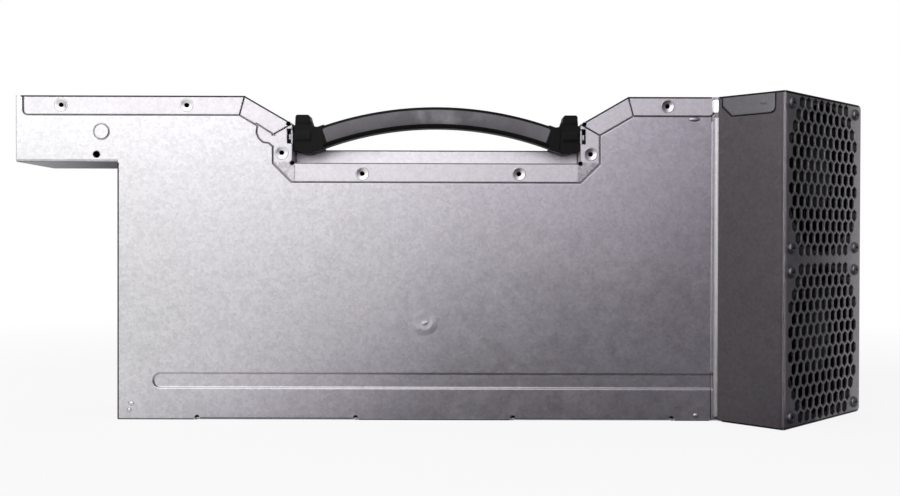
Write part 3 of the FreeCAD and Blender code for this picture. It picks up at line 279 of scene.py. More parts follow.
def paint(name, color, rough, scale=260, spread=0.8):
    # Dull skin with a fine grain
    material, tree, shader = new_material(name)
    where = coords(tree)
    grain = noise(tree, where, scale, 3.0)
    dark = tuple(c * spread for c in color)
    link(tree, color_mix(tree, grain, dark, color), shader.inputs["Base Color"])
    link(tree, remap(tree, grain, 0.3, 0.7, rough - 0.08, rough + 0.08), shader.inputs["Roughness"])
    link(tree, bump(tree, grain, 0.15, 0.0001), shader.inputs["Normal"])
    return material


GALVANISED = steel("galvanised_steel", (0.715, 0.69, 0.74), (0.56, 0.54, 0.58), 0.30, 0.38)
# Top channel: a lighter copy of the sheet steel, painted light, with edges painted dark as painted shade
CHANNEL_STEEL = steel("channel_steel", (0.90, 0.865, 0.925), (0.76, 0.73, 0.78), 0.48, 0.58,
                      0.8, 0.30, 0.0008)
# Flare: a darker copy of the sheet steel, painted shade
FLARE_STEEL = steel("flare_steel", (0.70, 0.64, 0.70), (0.56, 0.51, 0.56), 0.33, 0.43)
# Apex strip: the flare's tones with edges painted light, a painted highlight along the outer bend
APEX_STEEL = steel("apex_steel", (0.70, 0.64, 0.70), (0.56, 0.51, 0.56), 0.33, 0.43, 0.6, 1.42, 0.0016)
VALLEY_STEEL = steel("valley_steel", (0.66, 0.63, 0.67), (0.53, 0.51, 0.54), 0.36, 0.46, 0.6)
# Grille: a darker copy of the sheet steel, painted shade, with edges painted a little lighter as painted
# highlight
GRILLE_STEEL = steel("grille_steel", (0.66, 0.63, 0.67), (0.53, 0.505, 0.54), 0.34, 0.44, 1.0, 1.15, 0.0003)
# Stretched zinc of the gussets; its edges are painted a little darker, painted shade
STRETCHED = steel("stretched_steel", (0.82, 0.78, 0.84), (0.54, 0.51, 0.56), 0.46, 0.58, 1.6, 0.7, 0.0003)
RING_STEEL = steel("ring_steel", (0.50, 0.48, 0.52), (0.34, 0.33, 0.36), 0.38, 0.50, 1.6)
# Rivets: edges painted dark, painted shade round the heads
RIVET_STEEL = steel("rivet_steel", (0.82, 0.80, 0.83), (0.68, 0.66, 0.69), 0.26, 0.36, 0.6, 0.22, 0.0004)
BRIGHT = steel("bright_steel", (0.86, 0.83, 0.87), (0.74, 0.71, 0.75), 0.24, 0.34, 0.5)
# Near-black steel for the strips along bends and edges: painted shade
PAINTED_SHADE_DARK = steel("painted_shade_dark", (0.075, 0.072, 0.078), (0.045, 0.043, 0.047), 0.42, 0.52)
# Dark grey steel for the valley's foot and the ledge line: painted shade
PAINTED_SHADE_GREY = steel("painted_shade_grey", (0.30, 0.29, 0.31), (0.20, 0.19, 0.21), 0.42, 0.52)
SCREW_ZINC = steel("screw_zinc", (0.30, 0.29, 0.31), (0.20, 0.19, 0.21), 0.40, 0.52, 0.6)
HANDLE_BLACK = plastic("handle_black", (0.007, 0.007, 0.0078), 0.42, 0.56, level=0.12)
HANDLE_GREY = worn_grip("handle_grey", (0.122, 0.114, 0.128), (0.25, 0.24, 0.26))
HOLE_DARK = plastic("hole_dark", (0.004, 0.004, 0.0045), 0.6, 0.75, level=0.05)
FAN_BLACK = plastic("fan_black", (0.008, 0.008, 0.009), 0.42, 0.55, level=0.25)
INLET_BLACK = plastic("inlet_black", (0.02, 0.02, 0.022), 0.35, 0.48)
CONTACT = bare_metal("contact_metal", (0.80, 0.74, 0.58), 0.22, 0.36)
BOARD = paint("board_green", (0.03, 0.14, 0.06), 0.4)
FILM = paint("film_clear", (0.62, 0.60, 0.52), 0.3)
FERRITE = paint("ferrite", (0.05, 0.05, 0.052), 0.6)
COPPER = bare_metal("copper", (0.78, 0.42, 0.24), 0.25, 0.4, (1400, 60, 60))
SLEEVE = plastic("sleeve", (0.03, 0.03, 0.05), 0.3, 0.42)
FILM_YELLOW = plastic("film_yellow", (0.72, 0.55, 0.10), 0.35, 0.5)
ALUMINIUM = bare_metal("aluminium", (0.76, 0.77, 0.78), 0.3, 0.45)
EPOXY = paint("epoxy", (0.03, 0.03, 0.032), 0.5)
LEAD = plastic("lead_skin", (0.35, 0.09, 0.06), 0.4, 0.5)
MAGNET = paint("magnet", (0.10, 0.09, 0.085), 0.55)

LOOKS = {
    "galvanised_steel": GALVANISED, "bright_steel": BRIGHT, "handle_black": HANDLE_BLACK,
    "handle_grey": HANDLE_GREY, "fan_black": FAN_BLACK, "inlet_black": INLET_BLACK,
    "contact_metal": CONTACT, "board_green": BOARD, "film_clear": FILM, "ferrite": FERRITE,
    "copper": COPPER, "sleeve": SLEEVE, "film_yellow": FILM_YELLOW, "aluminium": ALUMINIUM,
    "epoxy": EPOXY, "lead_skin": LEAD, "magnet": MAGNET,
}

for part in frame["record"]["subparts"]:
    mesh = nodes[part["node"]].data
    mesh.materials.clear()
    mesh.materials.append(LOOKS[part["material_slot"]])
SHEET_LOOKS = {"top_channel": CHANNEL_STEEL, "flare_panel": FLARE_STEEL, "fan_grille": GRILLE_STEEL}
for name, material in SHEET_LOOKS.items():
    nodes[name].data.materials[0] = material


# Small pieces made in mesh code, in millimetres
def piece(name, points, faces, material, body, smooth=35):
    mesh = bpy.data.meshes.new(name)
    mesh.from_pydata([Vector(p) * MM for p in points], [], faces)
    work = bmesh.new()
    work.from_mesh(mesh)
    bmesh.ops.recalc_face_normals(work, faces=work.faces)
    work.to_mesh(mesh)
    work.free()
    mesh.shade_smooth()
    mesh.set_sharp_from_angle(angle=math.radians(smooth))
    mesh.materials.append(material)
    made = bpy.data.objects.new(name, mesh)
    scene.collection.objects.link(made)
    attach(made, body)
    return made


def turned(points, faces, profile, place, out, side, sides=32, shape=None):
    # Closed turned form: radius and height pairs, from axis to axis, heights along out
    out = Vector(out)
    side = Vector(side)
    other = out.cross(side)
    rings = []
    for index, (radius, height) in enumerate(profile):
        middle = Vector(place) + out * height
        if radius == 0:
            rings.append([len(points)])
            points.append(middle)
            continue
        ring = []
        for k in range(sides):
            angle = 2 * math.pi * k / sides
            reach = radius * (shape(index, angle) if shape else 1.0)
            ring.append(len(points))
            points.append(middle + side * (reach * math.cos(angle)) + other * (reach * math.sin(angle)))
        rings.append(ring)
    for low, high in zip(rings, rings[1:]):
        for k in range(sides):
            n = (k + 1) % sides
            if len(low) == 1:
                faces.append((low[0], high[k], high[n]))
            elif len(high) == 1:
                faces.append((low[k], low[n], high[0]))
            else:
                faces.append((low[k], low[n], high[n], high[k]))


def loft(faces, rows):
    # Joins rings of point numbers one after the other and closes both ends
    for low, high in zip(rows, rows[1:]):
        for k in range(len(low)):
            n = (k + 1) % len(low)
            faces.append((low[k], low[n], high[n], high[k]))
    faces.append(tuple(rows[0]))
    faces.append(tuple(rows[-1]))


def add_ring(points, ring):
    # Adds the ring's points and gives their numbers
    first = len(points)
    points.extend(ring)
    return list(range(first, len(points)))


def in_fan_box(x, y, z):
    # Along the grille, inward from its face, up
    return APEX + ALONG * x - OUTWARD * y + UP * z


# Blind rivets of the flange: dished flush head, bore, swaged tail; each bore holds a near-black lining,
# painted shade
RIVET_PROFILE = [(0, -4.4), (1.15, -4.4), (1.15, -0.38), (1.26, -0.34), (1.6, -0.28), (2.8, -0.03),
                 (3.1, 0.06), (3.3, 0.07), (3.46, 0.02), (3.44, -0.06), (2.95, -0.3), (1.66, -1.0),
                 (1.66, -2.06), (2.4, -2.06), (2.45, -4.6), (1.6, -5.2), (0, -5.2)]
BORE_PROFILE = [(0, -4.3), (1.0, -4.3), (1.06, -0.52), (1.13, -0.42), (1.13, -4.38), (0, -4.38)]
rivet_spots = [(X_ARM + 23.0, Z_TOP - FLANGE_MIDDLE), (X_ARM + 87.4, Z_TOP - FLANGE_MIDDLE),
               (X_RECESS_A - 5.4, Z_LEDGE + 5.2), (X_RECESS_A + 35.9, Z_LEDGE - 5.4),
               (X_RECESS_B - 31.5, Z_LEDGE - 5.4), (X_RECESS_B + 5.2, Z_LEDGE + 4.8),
               (X_RECESS_B + 44.5, Z_TOP - FLANGE_MIDDLE)]
points, faces = [], []
for x, z in rivet_spots:
    turned(points, faces, RIVET_PROFILE, (x, Y_FACE, z), FRONT, RIGHT)
rivets = piece("rivet_set", points, faces, RIVET_STEEL, "case")
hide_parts("flange_rivets")
# Near-black linings in the rivet bores and relief holes: painted shade
points, faces = [], []
for x, z in rivet_spots:
    turned(points, faces, BORE_PROFILE, (x, Y_FACE, z), FRONT, RIGHT, 24)
RELIEF_PROFILE = [(0, -1.0), (0.85, -1.0), (1.0, -0.06), (1.12, 0.01), (1.14, -0.1), (1.14, -1.08),
                  (0, -1.08)]
RELIEF_STEP = 1.9
relief_spots = [(X_RECESS_A - RELIEF_STEP, Z_TOP - SLOPE_DROP), (X_RECESS_A, Z_LEDGE), (X_RECESS_B, Z_LEDGE),
                (X_RECESS_B + RELIEF_STEP, Z_TOP - SLOPE_DROP)]
for x, z in relief_spots:
    turned(points, faces, RELIEF_PROFILE, (x, Y_FACE, z), FRONT, RIGHT, 24)
piece("bore_shade_linings", points, faces, HOLE_DARK, "case")


# Fan screws: low domed heads with a cross recess
SCREW_PROFILE = [(0, 0.35), (1.5, 0.35), (1.7, 1.42), (2.0, 1.5), (2.5, 1.3), (2.9, 0.8), (3.0, 0.25),
                 (3.0, 0.0), (1.95, -0.02), (1.95, -8.2), (1.2, -9.0), (0, -9.0)]


def cross_recess(index, angle):
    if index in (1, 2):
        return 0.42 + 0.58 * abs(math.cos(2 * angle)) ** 3
    return 1.0


points, faces = [], []
for z in FAN_HEIGHTS.values():
    for dx in (-FAN_SCREW_REACH, FAN_SCREW_REACH):
        for dz in (-FAN_SCREW_REACH, FAN_SCREW_REACH):
            place = in_fan_box(FAN_MIDDLE + dx, 0, z + dz)
            turned(points, faces, SCREW_PROFILE, place, OUTWARD, ALONG, 40, cross_recess)
screws = piece("fan_screw_set", points, faces, SCREW_ZINC, "case")
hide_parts("fan_screws")


# Darker ring round the pressed disc of the arm
RING_PROFILE = [(0, -0.4), (4.4, -0.4), (4.4, 0.01), (4.1, 0.05), (3.66, 0.03), (3.66, -0.3), (0, -0.3)]
points, faces = [], []
turned(points, faces, RING_PROFILE, (X_WALL - 8.2, Y_FACE, Z_ARM + 15.6), FRONT, RIGHT)
piece("button_ring", points, faces, RING_STEEL, "case", 60)


# Stretched corners of the flange, below the ends of the handle recess
GUSSET_OUTLINE = [(1.45, 0.4), (9.35, 0.4), (9.35, 0.15), (0.1, -9.3), (-1.3, -9.3), (-1.3, -0.9),
                  (-0.6, -1.4), (0.6, -1.4), (1.35, -0.6)]
GUSSET_REACH = 9.3
GUSSET_MIDDLE = (2.9, -3.6)
GUSSET_BACK = 0.3


def gusset(name, corner, side):
    # Back ring inside the sheet, front ring that rises towards the corner, and a middle point on either
    points, faces = [], []
    for u, v in GUSSET_OUTLINE:
        points.append((corner + side * u, Y_FACE + GUSSET_BACK, Z_LEDGE + v))
    for u, v in GUSSET_OUTLINE:
        rise = 0.04 + 0.24 * max(0.0, 1 - (u - v) / GUSSET_REACH)
        points.append((corner + side * u, Y_FACE - rise, Z_LEDGE + v))
    count = len(GUSSET_OUTLINE)
    for k in range(count):
        n = (k + 1) % count
        faces.append((k, n, count + n, count + k))
    u, v = GUSSET_MIDDLE
    points.append((corner + side * u, Y_FACE - 0.12, Z_LEDGE + v))
    points.append((corner + side * u, Y_FACE + GUSSET_BACK, Z_LEDGE + v))
    for k in range(count):
        n = (k + 1) % count
        faces.append((count + k, count + n, 2 * count))
        faces.append((k, n, 2 * count + 1))
    piece(name, points, faces, STRETCHED, "case", 20)


gusset("corner_gusset_left", X_RECESS_A, -1)
gusset("corner_gusset_right", X_RECESS_B, 1)


def pressed_bump(points, faces, middle, across, up, out, sizes, rows=8, columns=20):
    # Low pillow: half sizes across, up and out of the sheet, closed by a flat back inside it
    a, b, c = sizes
    start = len(points)
    points.append(middle + out * c)
    for i in range(1, rows + 1):
        angle = math.pi / 2 * i / rows
        for k in range(columns):
            turn = 2 * math.pi * k / columns
            points.append(middle + across * (a * math.sin(angle) * math.cos(turn))
                          + up * (b * math.sin(angle) * math.sin(turn)) + out * (c * math.cos(angle) - 0.02))
    for k in range(columns):
        faces.append((start, start + 1 + k, start + 1 + (k + 1) % columns))
    for i in range(rows - 1):
        for k in range(columns):
            n = (k + 1) % columns
            low = start + 1 + i * columns
            faces.append((low + k, low + columns + k, low + columns + n, low + n))
    rim = start + 1 + (rows - 1) * columns
    back = len(points)
    points.append(middle - out * 0.6)
    for k in range(columns):
        faces.append((rim + k, rim + (k + 1) % columns, back))


# Stop bump by the fan end and the small bumps of the lower corners: x, z and half sizes
FACE_BUMPS = [(124.6, 154.6, (2.9, 1.15, 0.5)), (-163.9, 8.2, (1.7, 1.15, 0.42)),
              (-164.9, 4.8, (1.25, 1.2, 0.45)), (126.0, 2.6, (1.6, 1.35, 0.42))]
points, faces = [], []
for x, z, sizes in FACE_BUMPS:
    pressed_bump(points, faces, Vector((x, Y_FACE, z)), RIGHT, UP, FRONT, sizes)
piece("pressed_bumps", points, faces, GALVANISED, "case", 60)


# Clinch mark: a small nub in a shallow dish, both pressed deeper at the lower side
MARK_PROFILE = [(0, -0.6), (9.4, -0.6), (9.4, -0.06), (7.2, 0.03), (5.4, 0.12), (4.6, 0.15), (4.2, 0.14),
                (2.3, 0.01), (2.0, 0.01), (1.25, 0.12), (0.9, 0.13), (0, 0.08)]


def clinch_mark(points, faces, place, size, out, side, deep):
    # Turned mark that keeps its height towards deep and sinks almost flush on the other side
    start = len(points)
    turned(points, faces, [(r * size, h) for r, h in MARK_PROFILE], place, out, side)
    for index in range(start, len(points)):
        offset = points[index] - Vector(place)
        height = offset.dot(out)
        flat = offset - out * height
        if height > 0 and flat.length > 0:
            share = min(1.0, max(0.0, (flat.normalized().dot(deep) + 0.35) / 0.9))
            points[index] -= out * (height * 0.85 * (1 - share))


points, faces = [], []
clinch_mark(points, faces, (-13.4, Y_FACE, 50.4), 0.9, FRONT, RIGHT, Vector((0.3, 0, -0.95)))
piece("clinch_marks", points, faces, GALVANISED, "case", 60)


# Small mark on the tab of the flare
points, faces = [], []
pressed_bump(points, faces, in_fan_box(0, 11.6, 160.7), OUTWARD, UP, -ALONG, (1.7, 0.6, 0.18))
piece("tab_mark", points, faces, CHANNEL_STEEL, "case", 60)


# Valley bend and the tab that bridges it under the flange
def valley_fillet(points, faces, radius, lift, reach, levels):
    # Concave band between face and flare; reach is its share towards either, levels give height and width
    steps = 10
    back = 0.7
    bisector = Vector((-math.sin(TURN / 2), -math.cos(TURN / 2), 0))
    centre = Vector((X_BEND, Y_FACE, 0)) + bisector * (radius / math.cos(TURN / 2) + lift)
    rows = []
    for z, share in levels:
        shares = [(reach[1] * k - reach[0] * (steps - k)) / steps for k in range(steps + 1)]
        turns = [TURN * (0.5 + share * s) for s in shares]
        ring = []
        for turn, depth in [(t, 0.0) for t in turns] + [(turns[-1], back), (turns[0], back)]:
            ring.append(centre + Vector((math.sin(turn), math.cos(turn), 0)) * (radius + depth) + UP * z)
        rows.append(add_ring(points, ring))
    loft(faces, rows)


BEND_LEVELS = [(2.2, 1.0), (155.6, 1.0)]
ROOT_LEVELS = [(155.6, 1.0), (158.4, 1.0)]
TAB_LEVELS = [(157.9, 0.6), (158.3, 0.85), (159.0, 1.0), (163.6, 1.0), (164.3, 0.85), (164.7, 0.6)]
# Name, material, radius, lift, reach and levels
VALLEY_BANDS = [
    ("valley_bend", VALLEY_STEEL, 3.0, 0.04, (0.5, 0.42), BEND_LEVELS),
    # Dark grey band at the foot of the flange: painted shade
    ("valley_root", PAINTED_SHADE_GREY, 3.0, 0.04, (0.5, 0.5), ROOT_LEVELS),
    # Raised bulge in bright steel: a real shape, its brightness a painted highlight
    ("valley_tab", BRIGHT, 6.2, 0.14, (0.5, 0.22), TAB_LEVELS),
]
for name, material, radius, lift, reach, levels in VALLEY_BANDS:
    points, faces = [], []
    valley_fillet(points, faces, radius, lift, reach, levels)
    piece(name, points, faces, material, "case", 50)


# Flattened lap beside the valley
points, faces = [], []
LAP_END = X_BEND - 1.0
for x0, z0, z1 in ((X_BEND - 2.85, 24.6, 153.6), (X_BEND - 2.3, 2.3, 15.4)):
    section = [(x0, 0.2), (x0, 0.0), (x0 + 0.3, -0.035), (LAP_END, -0.035), (LAP_END, 0.2)]
    loft(faces, [add_ring(points, [(x, Y_FACE + y, z) for x, y in section]) for z in (z0, z1)])
piece("valley_lap", points, faces, GALVANISED, "case", 30)


# Outer bend between flare and grille: a thin L strip whose edges are painted light, a painted highlight along
# the bend
section = [(-0.03, 2.0), (-0.03, -0.03), (2.0, -0.03), (2.0, 0.3), (0.3, 0.3), (0.3, 2.0)]
points, faces = [], []
loft(faces, [add_ring(points, [in_fan_box(x, y, z) for x, y in section]) for z in (1.0, Z_TOP - 1.0)])
piece("apex_bend", points, faces, APEX_STEEL, "case", 30)


# Leaning skin of the recess's riser
RISER_BACK = Y_FACE + 12.7
RISER_FOOT = Z_LEDGE + 0.03
RISER_HEAD = Z_FLOOR - 0.1
section = [(RISER_BACK, RISER_FOOT), (RISER_BACK - 1.0, RISER_FOOT), (RISER_BACK - 0.28, RISER_HEAD),
           (RISER_BACK, RISER_HEAD)]
riser_ends = (X_RECESS_A + 0.3, X_RECESS_B - 0.3)
points, faces = [], []
loft(faces, [add_ring(points, [(x, y, z) for y, z in section]) for x in riser_ends])
piece("riser_skin", points, faces, CHANNEL_STEEL, "case")


# Dark lines along the bends, painted shade: thin strips, a hair proud of the sheet
def bend_line(points, faces, start, end, inward, out, width, proud=0.06):
    inward = Vector(inward).normalized()
    out = Vector(out).normalized()
    section = [(-0.03, -0.25), (-0.03, proud), (width * 0.6, proud), (width, -0.02), (width, -0.25)]
    rings = []
    for place in (start, end):
        ring = [Vector(place) + inward * reach + out * rise for reach, rise in section]
        rings.append(add_ring(points, ring))
    loft(faces, rings)


def on_face(x, z, back=0.0):
    return Vector((x, Y_FACE + back, z))


SLOPE = Vector((SLOPE_RUN, 0, -SLOPE_DROP)).normalized()
DOWN_LEFT = (SLOPE.z, 0, -SLOPE.x)
DOWN_RIGHT = (-SLOPE.z, 0, -SLOPE.x)
SLOPE_FOOT = Z_TOP - 12.7
RISER_FACE = 12.5
# Start, end, direction into the sheet, outward direction, width, and the rise where it isn't the usual one
BEND_LINES = [
    (on_face(X_ARM + 2.4, Z_TOP), on_face(X_RECESS_A - 24.2, Z_TOP), -UP, FRONT, 0.85),
    (on_face(X_RECESS_A - SLOPE_RUN, Z_TOP), on_face(X_RECESS_A - 2.4, SLOPE_FOOT), DOWN_LEFT, FRONT, 0.85),
    (on_face(X_RECESS_B + SLOPE_RUN, Z_TOP), on_face(X_RECESS_B + 2.4, SLOPE_FOOT), DOWN_RIGHT, FRONT, 0.85),
    (on_face(X_RECESS_B + 24.2, Z_TOP), on_face(X_BEND - 2.6, Z_TOP), -UP, FRONT, 0.85),
    (on_face(X_RECESS_A + 0.4, Z_FLOOR, RISER_FACE), on_face(X_RECESS_B - 0.4, Z_FLOOR, RISER_FACE),
     -UP, FRONT, 0.7, 0.2),
    (on_face(X_WALL, 0.6), on_face(X_WALL, Z_ARM - 0.3), RIGHT, FRONT, 0.75),
    (on_face(X_WALL + 0.3, 0), on_face(X_WALL + 39.2, 0), UP, FRONT, 0.5),
    (on_face(X_WALL + 123.9, 0), on_face(X_WALL + 201.3, 0), UP, FRONT, 0.5),
    (on_face(X_WALL + 286.1, 0), on_face(X_BEND - 3.3, 0), UP, FRONT, 0.5),
    (in_fan_box(0, 36.2, Z_TOP), in_fan_box(0, 0.4, Z_TOP), -UP, -ALONG, 0.9),
    (in_fan_box(0, 33.8, 0), in_fan_box(0, 0.4, 0), UP, -ALONG, 0.9),
    (in_fan_box(0.4, 0, Z_TOP), in_fan_box(82.4, 0, Z_TOP), -UP, OUTWARD, 1.2),
    (in_fan_box(0.4, 0, 0), in_fan_box(82.4, 0, 0), UP, OUTWARD, 1.0),
]
points, faces = [], []
for line in BEND_LINES:
    bend_line(points, faces, *line)
piece("bend_shade_lines", points, faces, PAINTED_SHADE_DARK, "case", 20)
# Dark grey line along the ledge bend: painted shade
points, faces = [], []
ledge_ends = (on_face(X_RECESS_A + 1.2, Z_LEDGE), on_face(X_RECESS_B - 1.2, Z_LEDGE))
bend_line(points, faces, *ledge_ends, -UP, FRONT, 0.55)
piece("ledge_shade_line", points, faces, PAINTED_SHADE_GREY, "case", 20)


# Grip skins on both sides of the strap
GRIP_LOW = 171.15
GRIP_HIGH = 178.35
GRIP_EDGE = 0.5
GRIP_HALF = 57.4


def grip_skin(name, side):
    # Arc band, a little proud of the strap's side face
    reach = math.asin(GRIP_HALF / STRAP_RADIUS)
    rows = [(GRIP_LOW, -0.3), (GRIP_LOW, 0.06), (GRIP_LOW + GRIP_EDGE, 0.26), (GRIP_HIGH - GRIP_EDGE, 0.26),
            (GRIP_HIGH, 0.06), (GRIP_HIGH, -0.3)]
    count = 64
    points, faces = [], []
    rings = []
    base = Y_PIVOT + side * STRAP_HALF
    for k in range(count + 1):
        angle = -reach + 2 * reach * k / count
        ring = []
        for radius, rise in rows:
            ring.append((X_MIDDLE + radius * math.sin(angle), base + side * rise,
                         STRAP_CENTRE + radius * math.cos(angle)))
        rings.append(add_ring(points, ring))
    loft(faces, rings)
    return piece(name, points, faces, HANDLE_GREY, "handle")


grip_skin("grip_skin_front", -1)
grip_skin("grip_skin_back", 1)


# Two thin ribs round each handle tower
RIB_LEVELS = (6.35, 7.15)
RIB_PROFILE = [(-0.3, 0.0), (0.05, 0.0), (0.2, 0.14), (0.2, 0.36), (0.05, 0.5), (-0.3, 0.5)]
TOWER_LEFT = 0.8
TOWER_RIGHT = 9.25
TOWER_TAPER = 0.28
TOWER_HALF = 5.2


def tower_ribs(name, x0, direction):
    points, faces = [], []
    for low in RIB_LEVELS:
        rings = []
        for proud, rise in RIB_PROFILE:
            left = TOWER_LEFT - proud
            right = TOWER_RIGHT - (low - RIB_LEVELS[0]) * TOWER_TAPER + proud
            y0 = Y_PIVOT - TOWER_HALF - proud
            y1 = Y_PIVOT + TOWER_HALF + proud
            cut = 0.7
            outline = [(left + cut, y0), (right - cut, y0), (right, y0 + cut), (right, y1 - cut),
                       (right - cut, y1), (left + cut, y1), (left, y1 - cut), (left, y0 + cut)]
            z = Z_PIVOT + low + rise
            rings.append(add_ring(points, [(x0 + direction * x, y, z) for x, y in outline]))
        for a, b in zip(rings, rings[1:] + rings[:1]):
            for k in range(8):
                faces.append((a[k], a[(k + 1) % 8], b[(k + 1) % 8], b[k]))
    return piece(name, points, faces, HANDLE_BLACK, "handle", 50)


tower_ribs("tower_ribs_left", X_RECESS_A + 0.4, 1)
tower_ribs("tower_ribs_right", X_RECESS_B - 0.4, -1)

# Moulded pieces with softened edges, widths in millimetres
SOFT_EDGES = {"handle_end_left": 0.8, "handle_end_right": 0.8, "handle_strap": 0.5, "inlet_housing": 0.5,
              "upper_fan_frame": 0.4, "lower_fan_frame": 0.4}
for name, width in SOFT_EDGES.items():
    soften = nodes[name].modifiers.new("soften", "BEVEL")
    soften.width = width * MM
    soften.segments = 3
    soften.limit_method = "ANGLE"
    soften.angle_limit = math.radians(28)
    soften.harden_normals = False


# Fan rotors: rounded hub and seven twisted blades
HUB_PROFILE = [(0, 4.0), (9.0, 4.0), (15.6, 4.1), (16.6, 4.5), (17.0, 5.4), (17.0, 22.0), (15.7, 22.0),
               (15.6, 5.8), (3.2, 5.7), (3.0, 7.2), (0, 7.2)]
BLADES = 7
BLADE_ROOT = 16.6
BLADE_TIP = 37.2
BLADE_DEPTH = 13.0
BLADE_LIMITS = (4.8, 21.6)
PITCH_ROOT = 50
PITCH_FALL = 14
CHORD_ROOT = 18.5
CHORD_GROWTH = 3.5
BLADE_CAMBER = 2.2
BLADE_THICKNESS = 1.5
BLADE_SWEEP = 0.16


def fan_blade(points, faces, hub, start):
    # Two twisted skins, 0 and 1, joined round their edges
    spans, chords = 8, 8
    grid = {}
    for face in (0, 1):
        for i in range(spans + 1):
            t = i / spans
            radius = BLADE_ROOT + (BLADE_TIP - BLADE_ROOT) * t
            pitch = math.radians(PITCH_ROOT - PITCH_FALL * t)
            chord = CHORD_ROOT + CHORD_GROWTH * t
            for j in range(chords + 1):
                s = j / chords - 0.5
                half = (0.5 - face) * BLADE_THICKNESS * (1 - (2 * s) ** 4 * 0.75)
                lift = BLADE_CAMBER * (1 - (2 * s) ** 2) + half
                along = s * chord
                across = along * math.cos(pitch) - lift * math.sin(pitch)
                depth = BLADE_DEPTH + along * math.sin(pitch) + lift * math.cos(pitch)
                angle = start + across / radius + BLADE_SWEEP * t
                depth = min(max(depth, BLADE_LIMITS[0]), BLADE_LIMITS[1])
                spoke = ALONG * (radius * math.cos(angle)) + UP * (radius * math.sin(angle))
                grid[face, i, j] = len(points)
                points.append(hub - OUTWARD * depth + spoke)
    for face in (0, 1):
        for i in range(spans):
            for j in range(chords):
                faces.append((grid[face, i, j], grid[face, i + 1, j],
                              grid[face, i + 1, j + 1], grid[face, i, j + 1]))
    for i in range(spans):
        for j in (0, chords):
            faces.append((grid[0, i, j], grid[0, i + 1, j], grid[1, i + 1, j], grid[1, i, j]))
    for j in range(chords):
        for i in (0, spans):
            faces.append((grid[0, i, j], grid[0, i, j + 1], grid[1, i, j + 1], grid[1, i, j]))


def rotor(which):
    hub = in_fan_box(FAN_MIDDLE, 0, FAN_HEIGHTS[which])
    points, faces = [], []
    turned(points, faces, HUB_PROFILE, hub, -OUTWARD, ALONG, 48)
    for blade in range(BLADES):
        fan_blade(points, faces, hub, 2 * math.pi * blade / BLADES)
    made = piece(which + "_rotor_blades", points, faces, FAN_BLACK, which + "_rotor", 40)
    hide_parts(which + "_fan_rotor")


rotor("upper")
rotor("lower")


# Camera at the photograph's place
CAMERA_PLACE = Vector((-0.00047, -0.54909, 0.09317))
CAMERA_TILT = 89.491
CAMERA_ROLL = -0.162
LENS = 41.85
SENSOR_WIDTH = 36
camera = bpy.data.cameras.new("camera")
camera.lens = LENS
camera.sensor_width = SENSOR_WIDTH
camera.clip_start = 0.01
eye = bpy.data.objects.new("camera", camera)
eye.location = CAMERA_PLACE
eye.rotation_euler = (math.radians(CAMERA_TILT), math.radians(CAMERA_ROLL), 0)
scene.collection.objects.link(eye)
scene.camera = eye


# Studio: pale floor, white surround, one large soft lamp, and glowing cards that only reflections see
def plane(name, corners, material):
    mesh = bpy.data.meshes.new(name)
    mesh.from_pydata([Vector(c) for c in corners], [], [(0, 1, 2, 3)])
    mesh.materials.append(material)
    board = bpy.data.objects.new(name, mesh)
    scene.collection.objects.link(board)
    return board


def seen_rays(tree):
    # 1 for camera, glossy and transmission rays
    path = tree.nodes.new("ShaderNodeLightPath")
    seen = math_node(tree, "ADD", path.outputs["Is Camera Ray"], path.outputs["Is Glossy Ray"], True)
    return math_node(tree, "ADD", seen, path.outputs["Is Transmission Ray"], True)


def floor_material():
    # Pale floor that keeps the shadow near the object and fades to white further out
    material = bpy.data.materials.new("floor")
    material.use_nodes = True
    tree = material.node_tree
    tree.nodes.clear()
    out = tree.nodes.new("ShaderNodeOutputMaterial")
    diffuse = tree.nodes.new("ShaderNodeBsdfDiffuse")
    diffuse.inputs["Color"].default_value = (0.9, 0.9, 0.9, 1)
    glow = tree.nodes.new("ShaderNodeEmission")
    glow.inputs["Color"].default_value = (1, 1, 1, 1)
    near = tree.nodes.new("ShaderNodeMixShader")
    far = tree.nodes.new("ShaderNodeMixShader")
    source = tree.nodes.new("ShaderNodeTexCoord")
    length = tree.nodes.new("ShaderNodeVectorMath")
    length.operation = "LENGTH"
    link(tree, source.outputs["Object"], length.inputs[0])
    fade = remap(tree, length.outputs["Value"], 0.35, 0.75, 0.0, 1.0)
    seen = seen_rays(tree)
    link(tree, math_node(tree, "MULTIPLY", seen, 0.85), near.inputs["Fac"])
    link(tree, diffuse.outputs[0], near.inputs[1])
    link(tree, glow.outputs[0], near.inputs[2])
    link(tree, math_node(tree, "MULTIPLY", seen, fade), far.inputs["Fac"])
    link(tree, near.outputs[0], far.inputs[1])
    link(tree, glow.outputs[0], far.inputs[2])
    link(tree, far.outputs[0], out.inputs["Surface"])
    return material


COOL_TINT = (1.085, 0.97, 1.165)
WARM_TINT = (0.975, 1.0, 0.95)


